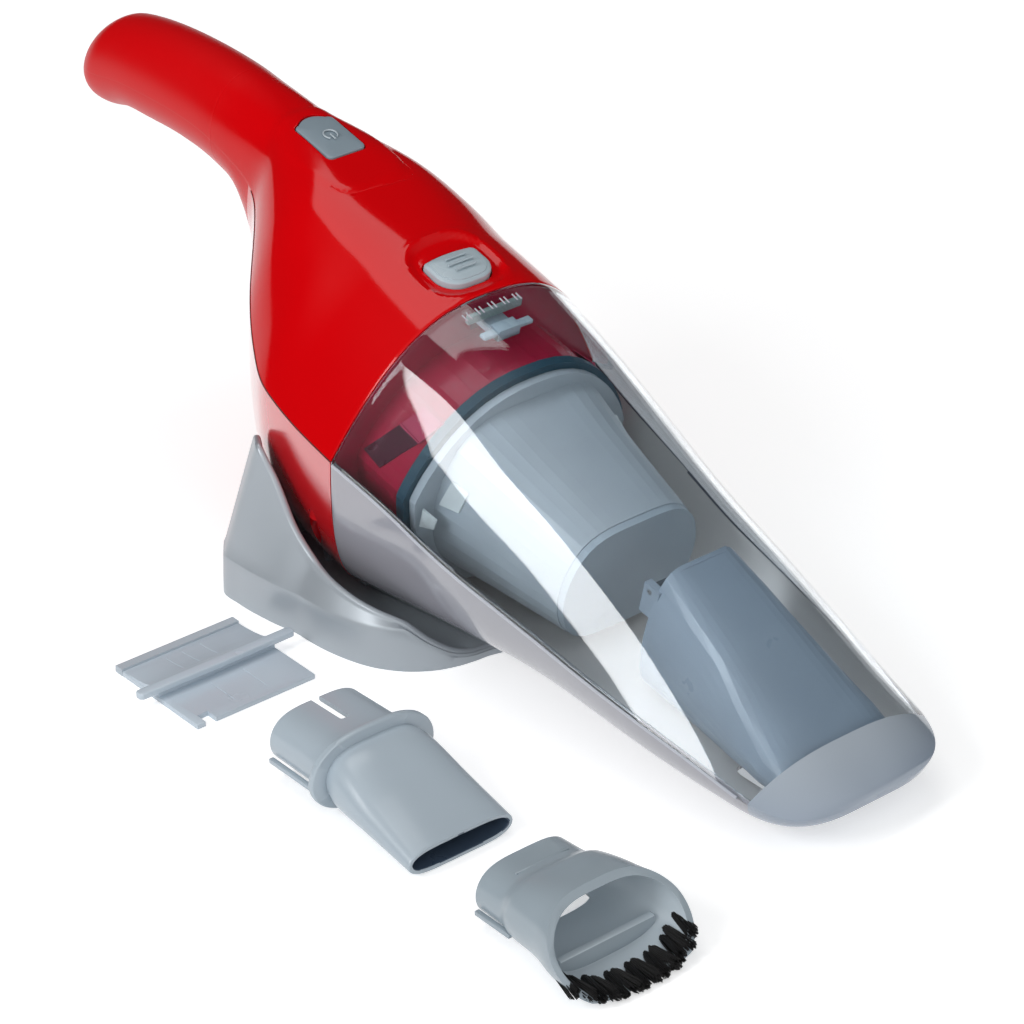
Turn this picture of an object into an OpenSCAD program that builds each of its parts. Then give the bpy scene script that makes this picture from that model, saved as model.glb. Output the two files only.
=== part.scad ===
// Cordless hand-held vacuum cleaner in its charging stand, with three loose nozzles.
//
// Frame: millimetres, +Z up, +X towards the nose of the cleaner.  The origin is the
// middle of the stand's underside.  The cleaner has its own frame inside that one:
// u runs forward from the seam between red body and clear bowl, y across, w up from
// the parting line.  docked() leans that frame nose-down into the stand.

/* [Body] */
// Width across the parting line at the bowl seam
body_w = 124; // [120:1:128]
// Height of the roof above the parting line at the seam
top_h = 52; // [50:1:55]
// Depth of the belly under the parting line at the seam
belly_h = 68; // [67:0.5:69]
// Wall of the red shells
shell_wall = 2.2; // [1.8:0.1:2.6]

/* [Handle] */
// Length from the seam to the rear end of the handle
handle_reach = 228.5; // [227:0.5:232]
// Width of the grip
grip_w = 37; // [36:0.5:39]

/* [Bowl] */
// Length from the seam to the tip of the nose
bowl_len = 219; // [214:1:224]
// Wall of the clear bowl
bowl_wall = 2; // [1.6:0.1:2.4]
// Gap between the rim of the bowl and the red shells
seam_gap = 0.5; // [0.3:0.1:0.8]
// Width of the suction mouth
mouth_w = 42; // [38:1:46]
// Length of the suction mouth
mouth_len = 30; // [26:1:32]

/* [Stand] */
// Angle by which the docked cleaner leans nose-down
dock_tilt = 13; // [12:0.5:14]
// Height of the parting line over the floor at the seam
dock_h = 71.5; // [71.5:0.5:74]
// Wall of the stand
stand_wall = 3; // [2.4:0.2:3.4]
// Height of the upright plinth
plinth_h = 17; // [14:1:19]
// Thickness of the bottom plate
base_t = 2.4; // [2:0.1:2.6]
// Distance between the two wall-mounting holes
wall_hole_pitch = 60; // [50:1:64]
// Diameter of the wall-mounting holes
wall_hole_d = 4.6; // [4:0.1:5.5]
// Bore of the charging inlet
inlet_d = 5.6; // [5:0.1:6.2]

/* [Motor] */
// Diameter of the motor can
motor_d = 36; // [32:0.5:38]
// Length of the motor can
motor_len = 44; // [38:1:46]
// Diameter of the motor shaft
shaft_d = 3.175; // [2.3:0.025:4]
// Diameter of the impeller
impeller_d = 70; // [64:1:71]
// Number of impeller blades
blade_count = 9; // [6:1:12]

/* [Battery] */
// Diameter of a cell
cell_d = 18.3; // [17.8:0.1:18.6]
// Length of a cell
cell_len = 65; // [63:0.5:66]

/* [Buttons] */
// Length of the power button
power_len = 24.5; // [23:0.5:26]
// Width of the power button
power_w = 17; // [16:0.5:18.5]
// Travel of the power button
power_travel = 2.5; // [1.5:0.1:3]
// Length of the release button
release_len = 17; // [15:0.5:18]
// Width of the release button
release_w = 23.5; // [22:0.5:25]
// Travel of the release button
release_travel = 3.5; // [2.5:0.1:3.8]

/* [Filter] */
// Length of the filter in front of its flange
filter_len = 61; // [54:1:62]
// Thickness of the filter flange
flange_t = 3.2; // [2.6:0.1:4]
// Depth of one pleat
pleat_h = 9; // [7:0.5:11]

/* [Nozzles] */
// Width of the spigots that fit the suction mouth
spigot_w = 39; // [36:0.5:40]
// Height of the spigots
spigot_h = 20; // [18:0.5:21]
// Wall of the nozzles
nozzle_wall = 1.8; // [1.4:0.1:2.2]
// Width of the brush mouth
brush_w = 55; // [52:1:58]
// Number of bristle tufts
tuft_count = 13; // [9:1:15]
// Width of the squeegee plate
squeegee_w = 51; // [46:1:54]

/* [Hidden] */

$fn = 48;
fit = 0.3;                       // gap between pieces that sit in one another
run = 0.06;                      // radial running clearance of shafts and pins
seam_x = 1;                      // where the seam crosses the parting line
ring_n = 44;                     // points round a full section
half_n = ring_n/2;

// ---- smooth tracks through a few stations -------------------------------------

function slope(t, c, i) = (t[i + 1][c] - t[i][c])/(t[i + 1][0] - t[i][0]);
function knot_slope(t, c, i) =
    i == 0 ? slope(t, c, 0)
    : i == len(t) - 1 ? slope(t, c, i - 1)
    : let (a = slope(t, c, i - 1), b = slope(t, c, i)) a*b <= 0 ? 0 : 2*a*b/(a + b);
function find_span(t, x, i = 0) =
    i >= len(t) - 2 || x <= t[i + 1][0] ? i : find_span(t, x, i + 1);
// Value of column c at x, on a curve that never overshoots the stations.
function track(t, c, x) =
    let (i = find_span(t, x), h = t[i + 1][0] - t[i][0],
         s = min(1, max(0, (x - t[i][0])/h)), m0 = knot_slope(t, c, i),
         m1 = knot_slope(t, c, i + 1), r = 1 - s)
    t[i][c]*r*r*(1 + 2*s) + m0*h*s*r*r + t[i + 1][c]*s*s*(1 + 2*r) - m1*h*s*s*r;
function blend(lo, hi, x) = let (s = min(1, max(0, (x - lo)/(hi - lo)))) s*s*(3 - 2*s);
// 1 along the piece, falling to 0 at its end on a quarter ellipse.
function round_end(end, length, x) =
    let (s = 1 - min(1, abs(x - end)/length)) sqrt(max(0, 1 - s*s));

// ---- sections of the cleaner ---------------------------------------------------

half_w = body_w/2;
grip = grip_w/2;
rear = -handle_reach;
// Red body: u, roof, parting line, half width, belly, drawn for the reach of its first row.
BODY = [
    [-228.5, 32, 15, grip - 1, 0.5], [-210.5, 41.5, 20, grip, 2],
    [-198.5, 46, 25, grip, 8], [-183.5, 50.5, 29, grip, 11.5],
    [-160.5, 55.5, 34, grip, 16.5], [-143.5, 58, 36, grip, 18],
    [-127, 59, 35, grip, 17], [-118, 59.2, 33.5, grip, 5], [-110, 59.4, 31, grip + 0.5, -10],
    [-97, 59.2, 25, 26.5, -38], [-88, 58.8, 20, 33.5, -50], [-74, 57.8, 13.5, 44, -58.5],
    [-60, 56.6, 6.5, 52, -63], [-43, 55.2, 1.5, 59, -66.5], [-17, top_h + 1.3, 0, half_w - 0.5, -belly_h],
    [0, top_h, 0, half_w, -belly_h]];
// Clear bowl: the same columns, drawn for the reach of its last row.
tip = bowl_len;
BOWL = [
    [0, top_h, 0, half_w, -belly_h], [27, top_h - 3, -2.4, half_w - 3, -belly_h + 8.5],
    [54, 42, -5, 57.4, -49.5], [95, 32.4, -7, 52.6, -38.5], [127, 25.6, -7, 50.2, -33],
    [154, 18, -6.8, 47.4, -29], [177, 10.4, -7.2, 44, -25],
    [197, 4, -7.8, 41.5, -20.5], [219, -2, -8.2, 40, -15]];
handle_round = 15;
nose_round = 34;
nose_power = 3.4;                // how square the nose is
end_floor = 0.16;                // the last section of a rounded end keeps this share
core_floor = 0.5;                // least half size of a shell's hollow

function body_end(u) = round_end(rear, handle_round, u);
function bowl_end(u) = let (s = 1 - min(1, (tip - u)/nose_round))
    pow(1 - pow(max(0, s), nose_power), 1/nose_power);
// Place in a table of a point at u, when the reach isn't the one it was drawn for.
function on_body(u) = u*BODY[0][0]/rear;
function on_bowl(u) = u*BOWL[len(BOWL) - 1][0]/tip;
// Section values [half width, roof, parting, belly] with the rounded ends worked in.
function section_at(table, u, e) = let (k = track(table, 2, u))
    [track(table, 3, u)*e, k + (track(table, 1, u) - k)*e, k, k + (track(table, 4, u) - k)*e];
function body_at(u) = section_at(BODY, on_body(u), max(end_floor, body_end(u)));
function bowl_at(u) = section_at(BOWL, on_bowl(u), max(end_floor, bowl_end(u)));
// Exponents [upper, root, lower, root]: an ellipse on the handle, an arched
// trapezoid with a chine on the body.
function body_form(u) = let (v = on_body(u), m = blend(-118, -55, v),
    shoulder = blend(-140, -95, v)*(1 - blend(-80, -30, v)))
    [2 + 0.6*m + 1.3*shoulder, 0.5 + 0.5*m, 2 + 4.5*m, 0.5 + 0.5*m];
function bowl_form(u) = let (m = blend(100, tip, u)) [2.6 + 0.2*m, 1, 6.5 + 2*m, 1 - 0.3*m];
// Section drawn in by t, measured square to the surface along u.
function steep(a, b, i) = norm([1, b[i] - a[i]]);
function drawn_in(s, a, b, t) =
    [max(core_floor, s[0] - t*steep(a, b, 0)), max(s[2] + core_floor, s[1] - t*steep(a, b, 1)), s[2],
     min(s[2] - core_floor, s[3] + t*steep(a, b, 3))];
function body_inside(u, t) = drawn_in(body_at(u), body_at(u - 0.5), body_at(u + 0.5), t);
function bowl_inside(u, t) = drawn_in(bowl_at(u), bowl_at(u - 0.5), bowl_at(u + 0.5), t);
// Point of a section at angle a, 0 at the +y edge and 90 at the roof.
function edge_point(s, f, a) = let (c = cos(a), up = sin(a) >= 0)
    [s[0]*c, up ? s[2] + (s[1] - s[2])*pow(max(0, 1 - pow(abs(c), f[0])), f[1])
                : s[2] + (s[3] - s[2])*pow(max(0, 1 - pow(abs(c), f[2])), f[3])];
function full_ring(s, f) = [for (i = [0:ring_n - 1]) edge_point(s, f, 360*i/ring_n)];
function half_ring(s, f, side) = [for (i = [0:half_n]) edge_point(s, f, side*180*i/half_n)];
function reversed(v) = [for (i = [len(v) - 1:-1:0]) v[i]];
// Belly of the body or bowl at u and y.
function belly_w(u, y) = let (s = u < 0 ? body_at(u) : bowl_at(u), f = u < 0 ? body_form(u) : bowl_form(u),
    c = min(1, abs(y)/s[0])) s[2] + (s[3] - s[2])*pow(max(0, 1 - pow(c, f[2])), f[3]);
// The same in the stand's frame: height of the docked cleaner over x and y.
function dock_u(x, z) = (x - seam_x)*cos(dock_tilt) - (z - dock_h)*sin(dock_tilt);
function dock_z(u, w) = dock_h - u*sin(dock_tilt) + w*cos(dock_tilt);
function dock_x(u, w) = seam_x + u*cos(dock_tilt) + w*sin(dock_tilt);
function belly_z(x, y, z = 12, steps = 9) =
    steps == 0 ? z : belly_z(x, y,
        dock_h + (belly_w(dock_u(x, z), y) - (x - seam_x)*sin(dock_tilt))/cos(dock_tilt), steps - 1);

// ---- solids from rings ---------------------------------------------------------

function at_u(ring, u) = [for (p = ring) [u, p[0], p[1]]];
function band(n, a, b, flip = false) =
    [for (i = [0:n - 1]) let (j = (i + 1)%n) each flip
        ? [[a + i, b + j, a + j], [a + i, b + i, b + j]]
        : [[a + i, a + j, b + j], [a + i, b + j, b + i]]];
function lid(n, a, flip = false) = [flip ? [for (i = [n - 1:-1:0]) a + i] : [for (i = [0:n - 1]) a + i]];
function joined(rings) = [for (r = rings) each r];

// Closes a ring that goes out along one arc and back along another.
function strip_lid(n, a, flip = false) = [for (i = [0:n/2 - 2])
    let (p = a + i, q = a + i + 1, r = a + n - 2 - i, s = a + n - 1 - i)
    each flip ? [[p, r, q], [p, s, r]] : [[p, q, r], [p, r, s]]];

// A half shell through a stack of such rings.
module strip_skin(rings) {
    n = len(rings[0]);
    m = len(rings);
    polyhedron(joined(rings), concat(strip_lid(n, 0), strip_lid(n, (m - 1)*n, true),
        [for (k = [0:m - 2]) each band(n, k*n, (k + 1)*n, true)]));
}

// A cup: open and rimmed at the first rings, closed at the last ones.
module cup(outer, inner) {
    n = len(outer[0]);
    m = len(outer);
    q = len(inner);
    polyhedron(concat(joined(outer), joined(inner)), concat(
        [for (k = [0:m - 2]) each band(n, k*n, (k + 1)*n, true)], lid(n, (m - 1)*n, true),
        [for (k = [0:q - 2]) each band(n, (m + k)*n, (m + k + 1)*n)], lid(n, (m + q - 1)*n),
        band(n, 0, m*n)));
}

// A tube: open at both ends.
module tube(outer, inner) {
    n = len(outer[0]);
    m = len(outer);
    polyhedron(concat(joined(outer), joined(inner)), concat(
        [for (k = [0:m - 2]) each band(n, k*n, (k + 1)*n, true)],
        [for (k = [0:m - 2]) each band(n, (m + k)*n, (m + k + 1)*n)],
        band(n, 0, m*n), band(n, (m - 1)*n, (2*m - 1)*n, true)));
}

// Draws its children, given in the cleaner's frame, where the docked cleaner is.
module docked() {
    translate([seam_x, 0, dock_h]) rotate([0, dock_tilt, 0]) children();
}

// Extrudes a y-w outline forward from u.
module along_u(u, length) {
    translate([u, 0, 0]) rotate([90, 0, 90]) linear_extrude(length) children();
}

// A cylinder whose axis runs forward from u at height w.
module rod_u(u, y, w, r, length) {
    translate([u, y, w]) rotate([0, 90, 0]) cylinder(r = r, h = length);
}

// Outline with rounded corners, whose rear edge bows out.
function tongue(length, width, rear_r, front_r, bow) = concat(
    [for (a = [90:30:180]) [bow + rear_r*(cos(a) + 1), width/2 - rear_r + rear_r*sin(a)]],
    [for (k = [2:-1:-2]) [bow*k*k/9, (width/2 - rear_r)*k/3]],
    [for (a = [180:30:270]) [bow + rear_r*(cos(a) + 1), -width/2 + rear_r + rear_r*sin(a)]],
    [for (a = [-90:22.5:0]) [length - front_r + front_r*cos(a), -width/2 + front_r + front_r*sin(a)]],
    [for (a = [0:22.5:90]) [length - front_r + front_r*cos(a), width/2 - front_r + front_r*sin(a)]]);

// ---- red shells ------------------------------------------------------------------

body_stations = concat([for (a = [0:15:75]) rear + handle_round*(1 - cos(a))],
    [for (i = [0:28]) let (u0 = rear + handle_round) u0 + (0 - u0)*i/28]);

// One half of the body shell as a strip between its outer and inner arc.
module half_shell(side) {
    strip_skin([for (u = body_stations) let (f = body_form(u))
        at_u(side > 0
            ? concat(half_ring(body_at(u), f, 1), reversed(half_ring(body_inside(u, shell_wall), f, 1)))
            : concat(reversed(half_ring(body_at(u), f, -1)), half_ring(body_inside(u, shell_wall), f, -1)), u)]);
}

// Screw places: u, y, top of the boss over the parting line.
rear_screw_u = rear + 12.5;
SCREWS = [[rear_screw_u, 0], [-52, 43], [-52, -43], [-13, 52], [-13, -52]];
screw_r = 1.25;
boss_r = 3.2;
head_r = 2.7;
head_h = 2;
grip_depth = 7;                  // how far a screw reaches into the upper boss
function parting_w(u) = body_at(u)[2];
function roof_w(u, y) = edge_point(body_inside(u, shell_wall/2), body_form(u), acos(y/body_at(u)[0]))[1];
// Ends of a boss that stays inside the shell all round.
function boss_edge(s) = [for (d = [-boss_r, boss_r]) [s[0] + d, abs(s[1]) + boss_r]];
function boss_top(s) = min([for (p = boss_edge(s)) roof_w(p[0], p[1])]);
function boss_foot(s) = max([for (p = boss_edge(s)) belly_w(p[0], p[1])]) + shell_wall/2;

power_u = -106.5;                // rear end of the power button
release_u = -24;                 // rear end of the release button
corner_r = 2.2;                  // small corners of both buttons
release_front_r = 8.5;           // its front is rounder
power_bow = 2.6;
release_bow = 0.8;
button_gap = 0.35;
tilt_gap = 0.25;                 // half shells stay this far apart over the parting line

// Outline of each button, grown all round.
module power_outline(grow) {
    translate([power_u - grow, 0]) polygon(tongue(power_len + 2*grow, power_w + 2*grow,
        corner_r + grow, corner_r + grow, power_bow));
}

module release_outline(grow) {
    translate([release_u - grow, 0]) polygon(tongue(release_len + 2*grow, release_w + 2*grow,
        corner_r + grow, release_front_r + grow, release_bow));
}

module upper_housing() {
    color("#e00808") docked() difference() {
        union() {
            half_shell(1);
            for (s = SCREWS) let (w0 = parting_w(s[0]))
                translate([s[0], s[1], w0 + tilt_gap])
                    cylinder(r = boss_r, h = boss_top(s) - w0 - tilt_gap);
        }
        translate([0, 0, 40]) linear_extrude(40) power_outline(button_gap);
        translate([0, 0, 40]) linear_extrude(40) release_outline(button_gap);
        for (s = SCREWS)
            translate([s[0], s[1], parting_w(s[0]) - 1]) cylinder(r = screw_r + run, h = grip_depth + 1.5);
    }
}

vent_count = 4;
vent_u = -93;
vent_w = 8;                      // uppermost vent slot
vent_pitch = 6;
contact_u = -42;
contact_y = 10;
contact_r = 3;

module lower_housing() {
    color("#d80a0a") docked() difference() {
        union() {
            half_shell(-1);
            for (s = SCREWS) let (w0 = parting_w(s[0]), wb = boss_foot(s))
                translate([s[0], s[1], wb]) cylinder(r = boss_r, h = w0 - tilt_gap - wb);
        }
        for (s = SCREWS) {
            translate([s[0], s[1], -belly_h - 5]) cylinder(r = screw_r + 0.25, h = 2*belly_h);
            translate([s[0], s[1], -belly_h - 5])
                cylinder(r = head_r + fit, h = parting_w(s[0]) - screw_seat(s[0]) + belly_h + 5);
        }
        for (y = [-contact_y, contact_y])
            translate([contact_u, y, -belly_h - 4]) cylinder(r = contact_r + run, h = 12);
        for (i = [0:vent_count - 1])
            translate([vent_u + 1.5*i, -half_w, vent_w - vent_pitch*i]) cube([12, body_w, 2.2]);
    }
}

// Depth of a screw head's seat under the parting line.
function screw_seat(u) = u < -100 ? 6 : 12;

module housing_screws() {
    color("#8c9096") docked() for (s = SCREWS) let (w0 = parting_w(s[0]) - screw_seat(s[0]))
        translate([s[0], s[1], w0 - head_h]) {
            cylinder(r = head_r, h = head_h);
            cylinder(r = screw_r, h = head_h + screw_seat(s[0]) + grip_depth);
        }
}

// ---- bulkhead, fan and motor ------------------------------------------------------

axis_w = -8;                     // height of the motor axis
plate_u = -5;                    // rear face of the bulkhead plate
plate_t = 5;
spigot_len = 24;                 // reach of the bulkhead into the bowl
spigot_clear = 8;                // space between the spigot and the sides of the bowl
spigot_drop = 13;                // the same under the roof, for the release arm
spigot_wall = 2.5;
eye_r = 22;                      // air inlet of the fan
fan_wall = 2;
fan_depth = 17;
fan_r = impeller_d/2 + 4 + fan_wall;
fan_u = plate_u - fan_depth;
seat_h = 1;                      // pad under the release spring
motor_u = fan_u - motor_len;     // rear face of the motor can
neck_r = 6.5;                    // front bearing boss of the motor
neck_h = 2.5;
shaft_r = shaft_d/2;
arm_w = 41;                      // underside of the release arm
arm_t = 2.5;
arm_half = 5;
release_top = 53.9;
release_under = 46;

// Section of the spigot, and of the seal and flange that sit on it.
function spigot_section(u, more) = let (s = bowl_at(u))
    [s[0] - bowl_wall - spigot_clear - more, s[1] - bowl_wall - spigot_drop - more, s[2],
     s[3] + bowl_wall + spigot_clear - 1 + more];
function spigot_ring(more) = full_ring(spigot_section(spigot_len, more), [2.4, 0.8, 4, 0.8]);

module motor_bulkhead() {
    color("#b8102c") docked() difference() {
        union() {
            along_u(plate_u, plate_t)
                polygon(full_ring(body_inside(plate_u/2, shell_wall + fit), body_form(0)));
            along_u(plate_u + 1, spigot_len - plate_u - 1) polygon(spigot_ring(0));
        }
        along_u(plate_u + plate_t/2, spigot_len - plate_u - plate_t/2 - spigot_wall)
            polygon(spigot_ring(spigot_wall));
        rod_u(plate_u - 1, 0, axis_w, eye_r, 60);
        translate([plate_u - 1, -arm_half - 0.6, arm_w - release_travel - 0.6])
            cube([plate_t + 2, 2*arm_half + 1.2, arm_t + release_travel + 1.5]);
        for (s = SCREWS) if (s[0] > -20)
            translate([s[0], s[1], -belly_h]) cylinder(r = boss_r + fit, h = 2*belly_h);
    }
}

module fan_housing() {
    color("#3c4248") docked() {
        difference() {
            union() {
                rod_u(fan_u, 0, axis_w, fan_r, fan_depth);
                translate([fan_u + 2, -6, axis_w + fan_r - 2]) cube([fan_depth - 4, 12, 2 + seat_h]);
            }
            rod_u(fan_u + fan_wall, 0, axis_w, fan_r - fan_wall, fan_depth);
            rod_u(fan_u - 1, 0, axis_w, neck_r + 0.1, 10);
            for (a = [0, 180]) rotate_about_axis(a)
                rod_u(fan_u - 1, 0, axis_w + 11, 1.6, 10);
            for (a = [60:12:300]) rotate_about_axis(a)
                translate([fan_u + 5, -2, axis_w + fan_r - 5]) cube([9, 4, 10]);
        }
    }
}

module rotate_about_axis(a) {
    translate([0, 0, axis_w]) rotate([a, 0, 0]) translate([0, 0, -axis_w]) children();
}

hub_r = 6;
disc_u = fan_u + fan_wall + 2.2;
blade_h = 9;

module impeller() {
    color("#d9dde0") docked() difference() {
        union() {
            rod_u(disc_u, 0, axis_w, impeller_d/2, 1.6);
            rod_u(disc_u, 0, axis_w, hub_r, blade_h + 1.6);
            for (i = [0:blade_count - 1]) rotate_about_axis(360*i/blade_count)
                along_u(disc_u, blade_h + 1.6) translate([0, axis_w]) blade();
        }
        rod_u(disc_u - 1, 0, axis_w, shaft_r + 0.01, blade_h + 5);
    }
}

// A backward-curved blade as a band between two arcs.
module blade() {
    bend = impeller_d*0.42;
    function arc(r, a) = [r*cos(a) - bend + hub_r, r*sin(a)];
    sweep = 2*asin((impeller_d/2 - hub_r)/(2*bend))*0.9;
    polygon(concat([for (k = [0:6]) arc(bend - 0.6, sweep*k/6)],
        [for (k = [6:-1:0]) arc(bend + 0.6, sweep*k/6)]));
}

module motor_shaft() {
    color("#c8ccd0") docked() rod_u(motor_u - 5, 0, axis_w, shaft_r, disc_u + blade_h + 3 - motor_u + 5);
}

can_wall = 1.6;
magnet_t = 3.4;
core_r = motor_d/2 - can_wall - magnet_t - 0.5;
core_u = motor_u + 10;
core_len = motor_len - 18;

module armature() {
    color("#8a5a34") docked() difference() {
        union() {
            rod_u(core_u, 0, axis_w, core_r, core_len);
            rod_u(motor_u + 3, 0, axis_w, 4.5, core_u - motor_u);
        }
        rod_u(motor_u - 1, 0, axis_w, shaft_r + 0.01, motor_len);
    }
}

module motor_can() {
    color("#a7abb0") docked() difference() {
        union() {
            rod_u(motor_u, 0, axis_w, motor_d/2, motor_len);
            rod_u(motor_u, 0, axis_w, neck_r, motor_len + neck_h);
        }
        rod_u(motor_u - 1, 0, axis_w, motor_d/2 - can_wall, motor_len + 1 - can_wall);
        rod_u(motor_u, 0, axis_w, shaft_r + run, motor_len + 10);
        for (a = [0, 180]) rotate_about_axis(a)
            rod_u(fan_u - 4, 0, axis_w + 11, screw_r + run, 10);
    }
}

module motor_magnets() {
    color("#4a4d52") docked() for (side = [0, 180]) rotate_about_axis(side)
        along_u(core_u, core_len) translate([0, axis_w]) intersection() {
            difference() {
                circle(r = motor_d/2 - can_wall);
                circle(r = motor_d/2 - can_wall - magnet_t);
            }
            translate([-motor_d*0.3, 0]) square([motor_d*0.6, motor_d]);
        }
}

module motor_end_cap() {
    color("#e8e4d8") docked() difference() {
        union() {
            rod_u(motor_u - 3, 0, axis_w, motor_d/2, 3);
            rod_u(motor_u - 3, 0, axis_w, motor_d/2 - can_wall - 0.1, 5);
            rod_u(motor_u - 5.5, 0, axis_w, 5, 4);
            for (y = [-11, 11]) translate([motor_u - 9, y - 1.5, axis_w - 0.4]) cube([7, 3, 0.8]);
        }
        rod_u(motor_u - 6, 0, axis_w, shaft_r + run, 12);
    }
}

module motor_screws() {
    color("#8c9096") docked() for (a = [0, 180]) rotate_about_axis(a) {
        rod_u(fan_u + fan_wall, 0, axis_w + 11, 2.4, 1.5);
        rod_u(fan_u - can_wall + 0.1, 0, axis_w + 11, screw_r, can_wall + fan_wall + 1);
    }
}

// ---- battery and electrics -----------------------------------------------------------

rear_cell = [rear + 18.5, 21.5, 13.5];     // u, w and lean of the rear cell's axis
front_cell = [-141.5, 33.6, -17];

module cell_axis(place) {
    translate([place[0], 0, place[1]]) rotate([0, 90 - place[2], 0]) children();
}

module cell(place) {
    cell_axis(place) {
        cylinder(d = cell_d, h = cell_len - 1);
        translate([0, 0, cell_len - 1.5]) cylinder(d = 6, h = 1.5);
    }
}

module battery_cell_rear() { color("#2f8f5b") docked() cell(rear_cell); }
module battery_cell_front() { color("#2f8f5b") docked() cell(front_cell); }

board_w = 34.5;                  // underside of the control board
board_u = -112;
board_len = 40;
collar_t = 3;
collar_slack = 0.35;             // the shells are straight between their stations
rail_h = 4;                      // rails that join the collars
rail_t = 2.1;
COLLARS = [rear + 42, rear + 74, front_cell[0] + 0.5, front_cell[0] + 10.5];
cells_apart = (front_cell[0] - rear_cell[0])/cos(rear_cell[2]);
CELL_RINGS = [24, 52];           // places along the front cell of the free rings
ring_t = 2;

module collar_outline(u) {
    polygon(full_ring(body_inside(u, shell_wall + fit + collar_slack), body_form(u)));
}

module battery_carrier() {
    color("#2c2f33") docked() difference() {
        union() {
            for (c = COLLARS) along_u(c, collar_t) intersection_for(u = [c, c + collar_t])
                collar_outline(u);
            cell_axis(front_cell) for (z = CELL_RINGS)
                translate([0, 0, z]) cylinder(r = cell_d/2 + ring_t, h = collar_t);
            for (side = [-1, 1], rail = [[rear_cell, 6, cells_apart + 6.5], [front_cell, 0, cell_len - 8]])
                cell_axis(rail[0]) translate([-rail_h, side*(cell_d/2 + 0.25 + rail_t/2) - rail_t/2, rail[1]])
                    cube([rail_h, rail_t, rail[2] - rail[1]]);
        }
        for (place = [rear_cell, front_cell])
            cell_axis(place) translate([0, 0, -1]) cylinder(d = cell_d + 0.3, h = cell_len + 2);
    }
}

module control_board() {
    color("#1f6b3a") docked() translate([board_u, -9, board_w]) cube([board_len, 18, 1.6]);
}

switch_u = -95;
switch_top = 44;
stem_r = 1.9;

module power_switch() {
    color("#202326") docked() difference() {
        translate([switch_u - 7, -7, board_w + 1.6]) cube([14, 14, switch_top - board_w - 1.6]);
        translate([switch_u, 0, board_w + 2.6]) cylinder(r = stem_r + run, h = 20);
    }
}

power_top = 60.2;                  // crown of the power button over the parting line
power_under = 50;
stem_drop = switch_top - board_w - 1.6 - power_travel - 1.4;

module power_button() {
    color("#9aa7b1") docked() {
        translate([0, 0, power_under]) linear_extrude(power_top - power_under)
            power_outline(0);
        translate([switch_u, 0, switch_top - stem_drop]) cylinder(r = stem_r, h = power_under - switch_top + stem_drop);
    }
}

// Envelope of a coil spring: a sleeve with one ring of wire per turn.
module spring_sleeve(r, wire, turns, height) {
    rotate_extrude() translate([r, 0]) polygon(concat(
        [for (k = [0:8*turns]) [wire*(0.6 + 0.4*abs(sin(22.5*k))), height*k/(8*turns)]],
        [for (k = [8*turns:-1:0]) [-wire*(0.6 + 0.4*abs(sin(22.5*k))), height*k/(8*turns)]]));
}

module power_spring() {
    color("#b9bdc1") docked() translate([switch_u, 0, switch_top + 0.1])
        spring_sleeve(3.4, 0.6, 2.5, power_under - switch_top - 0.2);
}

hook_u = 9;                      // rear face of the latch hook
hook_len = 5;
hook_top = 45.4;
arm_rear = -23;

module release_button() {
    color("#9aa7b1") docked() {
        translate([0, 0, release_under]) linear_extrude(release_top - release_under)
            release_outline(0);
        translate([arm_rear, -arm_half, arm_w]) cube([12, 2*arm_half, release_under - arm_w + 1]);
        translate([arm_rear, -arm_half, arm_w]) cube([hook_u + hook_len - arm_rear, 2*arm_half, arm_t]);
        translate([hook_u, -arm_half, arm_w]) cube([hook_len, 2*arm_half, hook_top - arm_w]);
    }
}

spring_seat_w = axis_w + fan_r + seat_h;

module release_spring() {
    color("#b9bdc1") docked() translate([fan_u + fan_depth/2 + 1, 0, spring_seat_w + 0.1])
        spring_sleeve(3, 0.5, 3, arm_w - spring_seat_w - 0.2);
}

module charge_contacts() {
    color("#c9a24a") docked() for (y = [-contact_y, contact_y]) let (w0 = belly_w(contact_u, y))
        translate([contact_u, y, w0 + 0.2]) {
            cylinder(r = contact_r, h = shell_wall + 1.5);
            translate([0, 0, shell_wall + 1.5]) cylinder(r = contact_r + 1.5, h = 1);
        }
}

// ---- clear bowl, duct and flap ----------------------------------------------------------

bowl_stations = concat([for (i = [0:17]) seam_gap + (tip - nose_round - seam_gap)*i/17],
    [for (a = [15, 30, 42, 52, 61, 69, 76, 82, 86.5]) tip - nose_round + nose_round*sin(a)]);
mouth_u = tip - 15 - mouth_len;
mouth_top = -12;                 // the mouth is cut up to here, through bowl and duct
catch_u = 3.5;                   // the rib that the latch hook holds
catch_t = 2;
catch_under = 44.95;

module dust_bowl() {
    inner_stations = [for (u = bowl_stations) if (u < tip - 2) u];
    color([0.55, 0.62, 0.68, 0.45]) docked() {
        difference() {
            cup([for (u = bowl_stations) at_u(full_ring(bowl_at(u), bowl_form(u)), u)],
                [for (u = inner_stations) at_u(full_ring(bowl_inside(u, bowl_wall), bowl_form(u)), u)]);
            mouth_cut();
        }
        translate([catch_u, -arm_half - 1, catch_under])
            cube([catch_t, 2*arm_half + 2, bowl_at(catch_u)[1] - bowl_wall/2 - catch_under - 0.4]);
    }
}

module mouth_cut() {
    translate([mouth_u, -mouth_w/2, -belly_h]) cube([mouth_len, mouth_w, belly_h + mouth_top]);
}

duct_u = 122;
duct_wall = 1.6;
duct_end = tip - 13;
duct_drop = 2;                   // space between duct and roof of the bowl
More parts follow.
